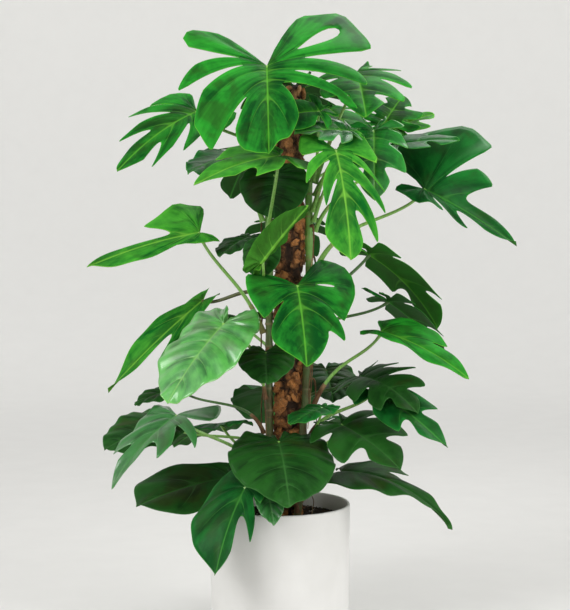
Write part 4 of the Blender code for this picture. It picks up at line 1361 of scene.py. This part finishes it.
def pole_core():
    """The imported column: rough, grooved and closed at both ends."""
    heights = np.linspace(POLE_FOOT, POLE_TOP - 0.002, CORE_ROWS)
    turns = 2 * np.pi * np.arange(CORE_SIDES) / CORE_SIDES
    h, a = np.meshgrid(heights, turns, indexing="ij")
    ring = np.stack([np.cos(a), np.sin(a), 0 * a], axis=-1).reshape(-1, 3)
    place = ring * POLE_RADIUS + np.stack([0 * h, 0 * h, h], axis=-1).reshape(-1, 3)
    coarse = lattice_noise(place, 70.0, 1)
    middle = lattice_noise(place, 160.0, 2)
    fine = lattice_noise(place, 330.0, 3)
    depth = 0.006 + 0.0035 * coarse + 0.0022 * middle + 0.0010 * fine
    place = place - ring * np.clip(depth, 0.0005, 0.013)[:, None] + (POLE_X, 0, 0)
    verts = [tuple(p) for p in place] + [(POLE_X, 0, heights[0]), (POLE_X, 0, heights[-1])]
    faces = []
    for i in range(CORE_ROWS - 1):
        for j in range(CORE_SIDES):
            k = (j + 1) % CORE_SIDES
            low, high = i * CORE_SIDES, (i + 1) * CORE_SIDES
            faces.append((low + j, low + k, high + k, high + j))
    top = (CORE_ROWS - 1) * CORE_SIDES
    for j in range(CORE_SIDES):
        k = (j + 1) % CORE_SIDES
        faces.append((k, j, len(verts) - 2))
        faces.append((top + j, top + k, len(verts) - 1))
    mesh = bpy.data.meshes.new("pole_core")
    mesh.from_pydata(verts, [], faces)
    mesh.shade_smooth()
    return mesh


def husk_tree():
    """Lays torn husk chunks over the sides of a mesh, each lying flat on it and tipped a little."""
    tree = Grower("lay husk", Density=3000.0, Size=0.008, Smallest=0.5, Largest=1.2, Seed=2)
    normal = tree.node("GeometryNodeInputNormal")
    upward = tree.node("ShaderNodeSeparateXYZ", {}, {0: normal.outputs[0]})
    level = tree.maths("ABSOLUTE", upward.outputs["Z"])
    on_side = tree.maths("LESS_THAN", level, 0.95)
    points = tree.node("GeometryNodeDistributePointsOnFaces", {},
                       {0: tree.get("Geometry"), 1: on_side, 4: tree.get("Density"),
                        6: tree.get("Seed")})
    ball = {"Radius": tree.get("Size"), "Subdivisions": 2}
    lump = tree.node("GeometryNodeMeshIcoSphere", {}, ball)
    spot = tree.node("GeometryNodeInputPosition")
    noise = tree.node("ShaderNodeTexNoise", {"noise_dimensions": "4D"},
                      {"Vector": spot.outputs[0], "W": 3.0, "Scale": 130.0, "Detail": 3.0})
    lean = tree.node("ShaderNodeVectorMath", {"operation": "SUBTRACT"},
                     {0: noise.outputs["Color"], 1: (0.5, 0.5, 0.5)})
    push = tree.node("ShaderNodeVectorMath", {"operation": "SCALE"},
                     {0: lean.outputs[0], "Scale": 0.016})
    torn = tree.node("GeometryNodeSetPosition", {}, {0: lump.outputs[0], 3: push.outputs[0]})
    slab = tree.node("GeometryNodeTransform", {}, {0: torn.outputs[0], "Scale": (0.8, 1.0, 0.42)})
    tip = tree.node("FunctionNodeRandomValue", {"data_type": "FLOAT_VECTOR"},
                    {0: (-0.5, -0.5, -3.1), 1: (0.5, 0.5, 3.1), 8: tree.get("Seed")})
    turned = tree.node("FunctionNodeRotateRotation", {"rotation_space": "LOCAL"},
                       {0: points.outputs["Rotation"], 1: tip.outputs[0]})
    size = tree.node("FunctionNodeRandomValue", {"data_type": "FLOAT"},
                     {2: tree.get("Smallest"), 3: tree.get("Largest"), 8: 5})
    laid = tree.node("GeometryNodeInstanceOnPoints", {},
                     {0: points.outputs[0], 2: slab.outputs[0], 5: turned.outputs[0],
                      6: size.outputs[1]})
    pick = tree.node("FunctionNodeRandomValue", {"data_type": "FLOAT"}, {2: 0.0, 3: 1.0, 8: 31})
    stored = tree.node("GeometryNodeStoreNamedAttribute",
                       {"data_type": "FLOAT", "domain": "INSTANCE"},
                       {0: laid.outputs[0], 2: "shade", 3: pick.outputs[1]})
    smooth = tree.node("GeometryNodeSetShadeSmooth", {}, {0: stored.outputs[0], 2: False})
    return tree.finish(smooth.outputs[0])


def fibre_tree():
    """Stands short curved fibres on a mesh, bent by their own number."""
    tree = Grower("stand fibres", Density=9000.0, Length=0.012, Thick=0.00022, Seed=3)
    points = tree.node("GeometryNodeDistributePointsOnFaces", {},
                       {0: tree.get("Geometry"), 4: tree.get("Density"), 6: tree.get("Seed")})
    line = tree.node("GeometryNodeCurvePrimitiveLine", {"mode": "DIRECTION"},
                     {"Direction": (0, 0, 1), "Length": tree.get("Length")})
    fine = tree.node("GeometryNodeResampleCurve", {}, {0: line.outputs[0], "Count": 6})
    along = tree.node("GeometryNodeSplineParameter").outputs["Factor"]
    bend = tree.maths("MULTIPLY", tree.maths("POWER", along, 2.0), tree.get("Length"))
    lean = tree.node("ShaderNodeCombineXYZ", {}, {0: bend})
    bent = tree.node("GeometryNodeSetPosition", {}, {0: fine.outputs[0], 3: lean.outputs[0]})
    ring = tree.node("GeometryNodeCurvePrimitiveCircle", {"mode": "RADIUS"},
                     {"Resolution": 3, "Radius": tree.get("Thick")})
    thin = tree.maths("SUBTRACT", 1.0, tree.maths("MULTIPLY", along, 0.7))
    wire = tree.node("GeometryNodeCurveToMesh", {}, {0: bent.outputs[0], 1: ring.outputs[0],
                                                     "Scale": thin, "Fill Caps": True})
    tip = tree.node("FunctionNodeRandomValue", {"data_type": "FLOAT_VECTOR"},
                    {0: (-1.4, -1.4, -3.1), 1: (1.4, 1.4, 3.1), 8: tree.get("Seed")})
    turned = tree.node("FunctionNodeRotateRotation", {"rotation_space": "LOCAL"},
                       {0: points.outputs["Rotation"], 1: tip.outputs[0]})
    size = tree.node("FunctionNodeRandomValue", {"data_type": "FLOAT"}, {2: 0.4, 3: 1.2, 8: 6})
    laid = tree.node("GeometryNodeInstanceOnPoints", {},
                     {0: points.outputs[0], 2: wire.outputs[0], 5: turned.outputs[0],
                      6: size.outputs[1]})
    pick = tree.node("FunctionNodeRandomValue", {"data_type": "FLOAT"}, {2: 0.0, 3: 1.0, 8: 32})
    stored = tree.node("GeometryNodeStoreNamedAttribute",
                       {"data_type": "FLOAT", "domain": "INSTANCE"},
                       {0: laid.outputs[0], 2: "shade", 3: pick.outputs[1]})
    return tree.finish(stored.outputs[0])


def coir_finish(name, dark, brown, orange, straw):
    """Torn husk: painted near-black shade in the hollows, brown and orange faces, straw-coloured
    fibre ends and a painted highlight near the top.
    """
    finish = Finish(name, IOR=1.45, Coat_Weight=0.0)
    place = finish.place()
    shade = finish.attribute("shade")
    centre = finish.node("ShaderNodeVectorMath", {"operation": "SUBTRACT"},
                         {0: place, 1: (POLE_X, 0, 0)})
    flat = finish.scaled(centre, (1, 1, 0))
    out = finish.node("ShaderNodeVectorMath", {"operation": "LENGTH"}, {0: flat}, "Value")
    height = finish.node("ShaderNodeSeparateXYZ", {}, {0: place}, output="Z")
    # Painted shade: the deeper the surface lies towards the core, the nearer it is painted to black
    painted_hollow_shade = out.ramp(POLE_RADIUS - 0.001, POLE_RADIUS - 0.008)
    clump = finish.noise(place, 60.0, 5.0, 0.65, 0.5)
    strand = finish.noise(finish.scaled(place, (1.0, 1.0, 0.22)), 700.0, 4.0, 0.7)
    cross = finish.noise(finish.scaled(place, (0.25, 0.25, 1.0)), 520.0, 3.0, 0.7)
    body = finish.mix(clump.ramp(0.38, 0.62) * 0.6 + shade.ramp(0.35, 0.9) * 0.6, brown, orange)
    body = finish.mix(strand.ramp(0.50, 0.72) * 0.75, body, straw)
    body = finish.mix(cross.ramp(0.55, 0.75) * 0.6, body, dark)
    # Painted highlight: the husk is painted paler, towards straw, near the top of the pole
    body = finish.mix(height.ramp(0.90, 1.08) * clump.ramp(0.35, 0.60) * 0.55, body, straw)
    body = finish.mix(clump.ramp(0.46, 0.34) * 0.65, body, dark)
    body = finish.mix(painted_hollow_shade * 0.95, body, dark)
    finish.set("Base Color", body)
    finish.set("Roughness", 0.72 + strand * 0.22)
    finish.relief(strand * 1.2 + cross + clump * 0.8, 0.0022, 1.0)
    return finish


COIR_COLOURS = ((0.016, 0.007, 0.003), (0.160, 0.058, 0.017), (0.600, 0.235, 0.062),
                (0.640, 0.380, 0.170))
core = pole_core()
chunks = grow("chunks", husk_tree(), core.copy(), coir_finish("husk_chunks", *COIR_COLOURS),
              Density=4200.0, Size=0.0105, Smallest=0.40, Largest=1.45, Seed=2)
fibres = grow("fibres", fibre_tree(), core.copy(), coir_finish("husk_fibres", *COIR_COLOURS),
              Density=14000.0, Length=0.013, Thick=0.00032, Seed=3)
core.materials.append(coir_finish("husk_core", *COIR_COLOURS).material)
hand_in(joined("husk_pole", core, chunks, fibres), "coir", "coir_pole")

# %% [markdown]
# ## Climbing stems, sheaths and aerial roots
# Three stems climb the pole. Each is smooth and green-brown with a pale ring scar wherever a leaf
# was, and thickens a little at those rings. Brown papery sheaths wrap the foot of each leaf
# stalk, with dry tan ends, and thin aerial roots leave the rings and wander down the pole. All of
# them are paths with a swept round section, so one kind of Geometry Nodes tree makes them.

# %% Climbing stems
STEM_SIDES = 18
STEM_STEP = 0.004
RING_SPACING = 0.043
ROOT_SIDES = 7


def stem_tree():
    """Sweeps a stem: ring scars at an even spacing, and slow swelling between them."""
    tree = Grower("sweep a stem", Radius=0.008, Spacing=RING_SPACING, Ring=0.16, Sides=STEM_SIDES)
    curve = tree.node("GeometryNodeMeshToCurve", {}, {0: tree.get("Geometry")}).outputs[0]
    length = tree.node("GeometryNodeSplineParameter").outputs["Length"]
    half = tree.maths("MULTIPLY", tree.get("Spacing"), 0.5)
    to_ring = tree.maths("PINGPONG", length, half)
    ring = tree.node("ShaderNodeMapRange", {"interpolation_type": "SMOOTHSTEP"},
                     {0: to_ring, 1: 0.0, 2: 0.0035, 3: 1.0, 4: 0.0})
    spot = tree.node("GeometryNodeInputPosition")
    noise = tree.node("ShaderNodeTexNoise", {}, {"Vector": spot.outputs[0], "Scale": 55.0})
    waver = tree.maths("MULTIPLY", tree.maths("SUBTRACT", noise.outputs[0], 0.5), 0.22)
    swell = tree.maths("MULTIPLY", ring.outputs[0], tree.get("Ring"))
    share = tree.maths("ADD", tree.maths("ADD", swell, waver), 0.93)
    radius = tree.maths("MULTIPLY", tree.get("Radius"), share)
    stored = tree.node("GeometryNodeStoreNamedAttribute", {"data_type": "FLOAT", "domain": "POINT"},
                       {0: curve, 2: "ring", 3: ring.outputs[0]})
    circle = tree.node("GeometryNodeCurvePrimitiveCircle", {"mode": "RADIUS"},
                       {"Resolution": tree.get("Sides"), "Radius": 1.0})
    tube = tree.node("GeometryNodeCurveToMesh", {}, {0: stored.outputs[0], 1: circle.outputs[0],
                                                     "Scale": radius, "Fill Caps": True})
    smooth = tree.node("GeometryNodeSetShadeSmooth", {}, {0: tube.outputs[0]})
    return tree.finish(smooth.outputs[0])


def stem_finish():
    """Green bark that browns with age, with pale ring scars and corky flecks."""
    finish = Finish("climbing_stem", IOR=1.45, Coat_Roughness=0.3)
    place = finish.place()
    ring = finish.attribute("ring")
    height = finish.node("ShaderNodeSeparateXYZ", {}, {0: place}, output="Z")
    patch = finish.noise(place, 34.0, 4.0, 0.6)
    streak = finish.noise(finish.scaled(place, (1.0, 1.0, 0.12)), 380.0, 4.0, 0.65)
    cork = finish.cells(place, 420.0).ramp(0.22, 0.06) * patch.ramp(0.40, 0.60)
    age = height.ramp(0.75, 0.25) * 0.5 + patch.ramp(0.40, 0.70) * 0.55
    green = finish.mix(height.ramp(0.60, 0.85), (0.060, 0.140, 0.028), (0.150, 0.390, 0.060))
    body = finish.mix(age * height.ramp(1.0, 0.6), green, (0.090, 0.050, 0.020))
    body = finish.mix(streak.ramp(0.45, 0.75) * 0.5, body, (0.190, 0.180, 0.070))
    body = finish.mix(cork * 0.6, body, (0.260, 0.170, 0.085))
    body = finish.mix(ring.ramp(0.15, 0.8) * 0.55, body, (0.240, 0.170, 0.090))
    finish.set("Base Color", body)
    finish.set("Roughness", 0.42 + age * 0.25 + ring * 0.1)
    finish.set("Coat Weight", 0.15 - age * 0.15)
    finish.relief(streak + cork * 0.8 + patch * 0.4, 0.0009, 0.7)
    return finish


def sheath_finish(name, living):
    """Sheath and root bark: brown with tan torn ends and long fibres; high ones are still green."""
    finish = Finish(name, IOR=1.4)
    place = finish.place()
    along = finish.attribute("along")
    fibre = finish.noise(finish.scaled(place, (1.0, 1.0, 0.12)), 620.0, 4.0, 0.7)
    patch = finish.noise(place, 70.0, 4.0, 0.6)
    body = finish.mix(patch.ramp(0.3, 0.7), (0.075, 0.034, 0.014), (0.190, 0.100, 0.042))
    body = finish.mix(fibre.ramp(0.50, 0.75) * 0.6, body, (0.330, 0.210, 0.105))
    height = finish.node("ShaderNodeSeparateXYZ", {}, {0: place}, output="Z")
    green = finish.mix(fibre.ramp(0.35, 0.70), (0.130, 0.330, 0.050), (0.260, 0.500, 0.110))
    body = finish.mix(height.ramp(0.56, 0.72) * living, body, green)
    body = finish.mix(along.ramp(0.72, 1.0) * (0.85 - 0.5 * living), body, (0.480, 0.330, 0.170))
    finish.set("Base Color", body)
    finish.set("Roughness", 0.70 - height.ramp(0.56, 0.72) * living * 0.3 + fibre * 0.2)
    finish.relief(fibre + patch * 0.5, 0.0012, 0.9)
    return finish


def stem_route(stem):
    """The stem's path with small natural swings to either side."""
    _, top, _ = STEMS[stem]
    heights = np.arange(STEM_FOOT, top, STEM_STEP)
    chance = random.Random(f"{stem} swings")
    phases = [chance.uniform(0, 2 * math.pi) for _ in range(2)]
    points = []
    for height in heights:
        swing = 0.0011 * math.sin(height * 70 + phases[0])
        swing += 0.0006 * math.sin(height * 160 + phases[1])
        centre = stem_point(stem, height)
        side = np.array((-(centre[1]), centre[0] - POLE_X, 0.0))
        points.append(centre + side / np.linalg.norm(side) * swing)
    return points


def root_route(stem, height, length, side, chance):
    """An aerial root: it bulges out of a ring, then wanders down near the pole."""
    centre = stem_point(stem, height)
    from_pole = centre - np.array((POLE_X, 0.0, centre[2]))
    from_pole /= np.linalg.norm(from_pole)
    across = np.array((-from_pole[1], from_pole[0], 0.0)) * side
    phase = chance.uniform(0, 2 * math.pi)
    points = []
    for f in np.linspace(0, 1, 26):
        out = 0.004 + 0.012 * math.sin(min(1.0, f * 2.2) * math.pi * 0.5) - 0.006 * f
        slide = 0.010 + 0.016 * f + 0.004 * math.sin(f * 9 + phase)
        drop = length * (f**1.3) - 0.010 * math.sin(min(1.0, f * 3) * math.pi)
        points.append(centre + from_pole * out + across * slide + np.array((0, 0, -drop)))
    return points


def sheath_route(leaf):
    """The first part of a leaf's stalk, which its sheath wraps."""
    route = stalk_route(leaf)
    return route[: len(route) // 5 + 2]


stem_sweep = stem_tree()
root_sweep = sweep_tree("sweep a root", ROOT_SIDES)
bark = stem_finish()
root_bark = sheath_finish("root_bark", 0.0)
sheath_skin = sheath_finish("sheath_skin", 1.0)
chance = random.Random(5)
for stem in STEMS:
    radius, top, _ = STEMS[stem]
    parts = [grow(f"{stem}_bark", stem_sweep, path_mesh("route", stem_route(stem)), bark,
                  Radius=radius)]
    for k in range(7):
        height = STEM_FOOT + 0.10 + (top - STEM_FOOT - 0.12) * (k + chance.uniform(0.1, 0.9)) / 7
        reach = min(chance.uniform(0.07, 0.20), height - SOIL_LEVEL)
        route = root_route(stem, height, reach, chance.choice((-1, 1)), chance)
        thick = chance.uniform(0.0011, 0.0019)
        parts.append(grow(f"{stem}_root_{k}", root_sweep, path_mesh("route", route), root_bark,
                          Base=thick, Tip=thick * 0.5, Knee=0.0, Foot=0.5))
    for leaf in LEAVES:
        if leaf.stem[0] == stem:
            thick = stalk_radius(leaf) * STALK_BASE
            parts.append(grow(f"{leaf.name}_sheath", root_sweep,
                              path_mesh("route", sheath_route(leaf)), sheath_skin,
                              Base=thick * 1.45, Tip=thick * 1.08, Knee=0.0, Foot=0.25))
    hand_in(joined(f"{stem}_stem", *parts), "stem", f"stem_{stem}")

# %% [markdown]
# ## Floor and light
# The plant stands in a round studio bay: a plain pale floor that curves up into a plain wall on
# every side, so there is no horizon from any direction. The wall glows softly, most behind the
# plant, as a lit wall in a bright room does. One large soft panel from the upper left makes the
# long pale sheen on waxy leaves, and a weaker one fills from the right.

# %% Floor and light
FLOOR_RADIUS = 4.0
BAY_CURVE = 2.0
BAY_HEIGHT = 7.0
BAY_STEPS = 16
BAY_SIDES = 96
WALL_GLOW_FRONT = (0.210, 0.210, 0.208)
WALL_GLOW_BACK = (0.250, 0.250, 0.247)
# Each soft panel: name, place, the point it faces, width and height, watts.
PANELS = (
    ("upper_left_panel", (-1.9, -1.9, 2.6), (0, 0, 0.7), (1.8, 1.8), 74.0),
    ("right_panel", (2.4, -1.6, 1.6), (0, 0, 0.5), (1.4, 2.0), 40.0),
    ("back_panel", (0.8, 1.2, 2.6), (0, 0, 0.8), (1.6, 1.0), 30.0),
)
SURROUND_COLOUR = (1.0, 1.0, 1.0)
SURROUND_STRENGTH = 0.29


def add_bay():
    """A round floor that curves up into a wall all round the plant."""
    profile = [(0.5 * FLOOR_RADIUS, 0.0), (FLOOR_RADIUS, 0.0)]
    for k in range(1, BAY_STEPS + 1):
        turn = math.pi / 2 * k / BAY_STEPS
        rise = BAY_CURVE * (1 - math.cos(turn))
        profile.append((FLOOR_RADIUS + BAY_CURVE * math.sin(turn), rise))
    profile.append((FLOOR_RADIUS + BAY_CURVE, BAY_HEIGHT))
    points = [(0.0, 0.0, 0.0)]
    for radius, height in profile:
        for k in range(BAY_SIDES):
            turn = 2 * math.pi * k / BAY_SIDES
            points.append((radius * math.cos(turn), radius * math.sin(turn), height))
    faces = []
    for k in range(BAY_SIDES):
        after = (k + 1) % BAY_SIDES
        faces.append((0, 1 + k, 1 + after))
        for ring in range(len(profile) - 1):
            low = 1 + ring * BAY_SIDES
            high = low + BAY_SIDES
            faces.append((low + k, high + k, high + after, low + after))
    mesh = bpy.data.meshes.new("floor")
    mesh.from_pydata(points, [], faces)
    mesh.shade_smooth()
    paint = Finish("pale_floor", Roughness=0.75, Emission_Strength=1.0)
    place = paint.place()
    grain = paint.noise(place, 9.0, 4.0, 0.6)
    away = paint.node("ShaderNodeVectorMath", {"operation": "LENGTH"}, {0: place}, "Value")
    behind = paint.node("ShaderNodeSeparateXYZ", {}, {0: place}, output="Y")
    glow = paint.mix(behind.ramp(-2.0, 3.0), WALL_GLOW_FRONT, WALL_GLOW_BACK)
    paint.set("Base Color", paint.mix(grain, (0.675, 0.670, 0.652), (0.730, 0.725, 0.705)))
    paint.set("Emission Color", paint.mix(away.ramp(0.6, 5.0), (0.0, 0.0, 0.0), glow))
    mesh.materials.append(paint.material)
    new_object("floor", mesh)


def add_light(name, place, target, size, power):
    data = bpy.data.lights.new(name, "AREA")
    data.shape = "RECTANGLE"
    data.size, data.size_y = size
    data.energy = power
    lamp = bpy.data.objects.new(name, data)
    lamp.location = place
    lamp.rotation_euler = (Vector(target) - Vector(place)).to_track_quat("-Z", "Y").to_euler()
    lamp.visible_camera = False
    bpy.context.scene.collection.objects.link(lamp)


def add_surround(colour, strength):
    world = bpy.data.worlds.new("surround")
    world.use_nodes = True
    background = world.node_tree.nodes["Background"]
    background.inputs["Color"].default_value = (*colour, 1.0)
    background.inputs["Strength"].default_value = strength
    bpy.context.scene.world = world


add_bay()
for panel in PANELS:
    add_light(*panel)
add_surround(SURROUND_COLOUR, SURROUND_STRENGTH)
bpy.context.scene.view_settings.view_transform = "Standard"
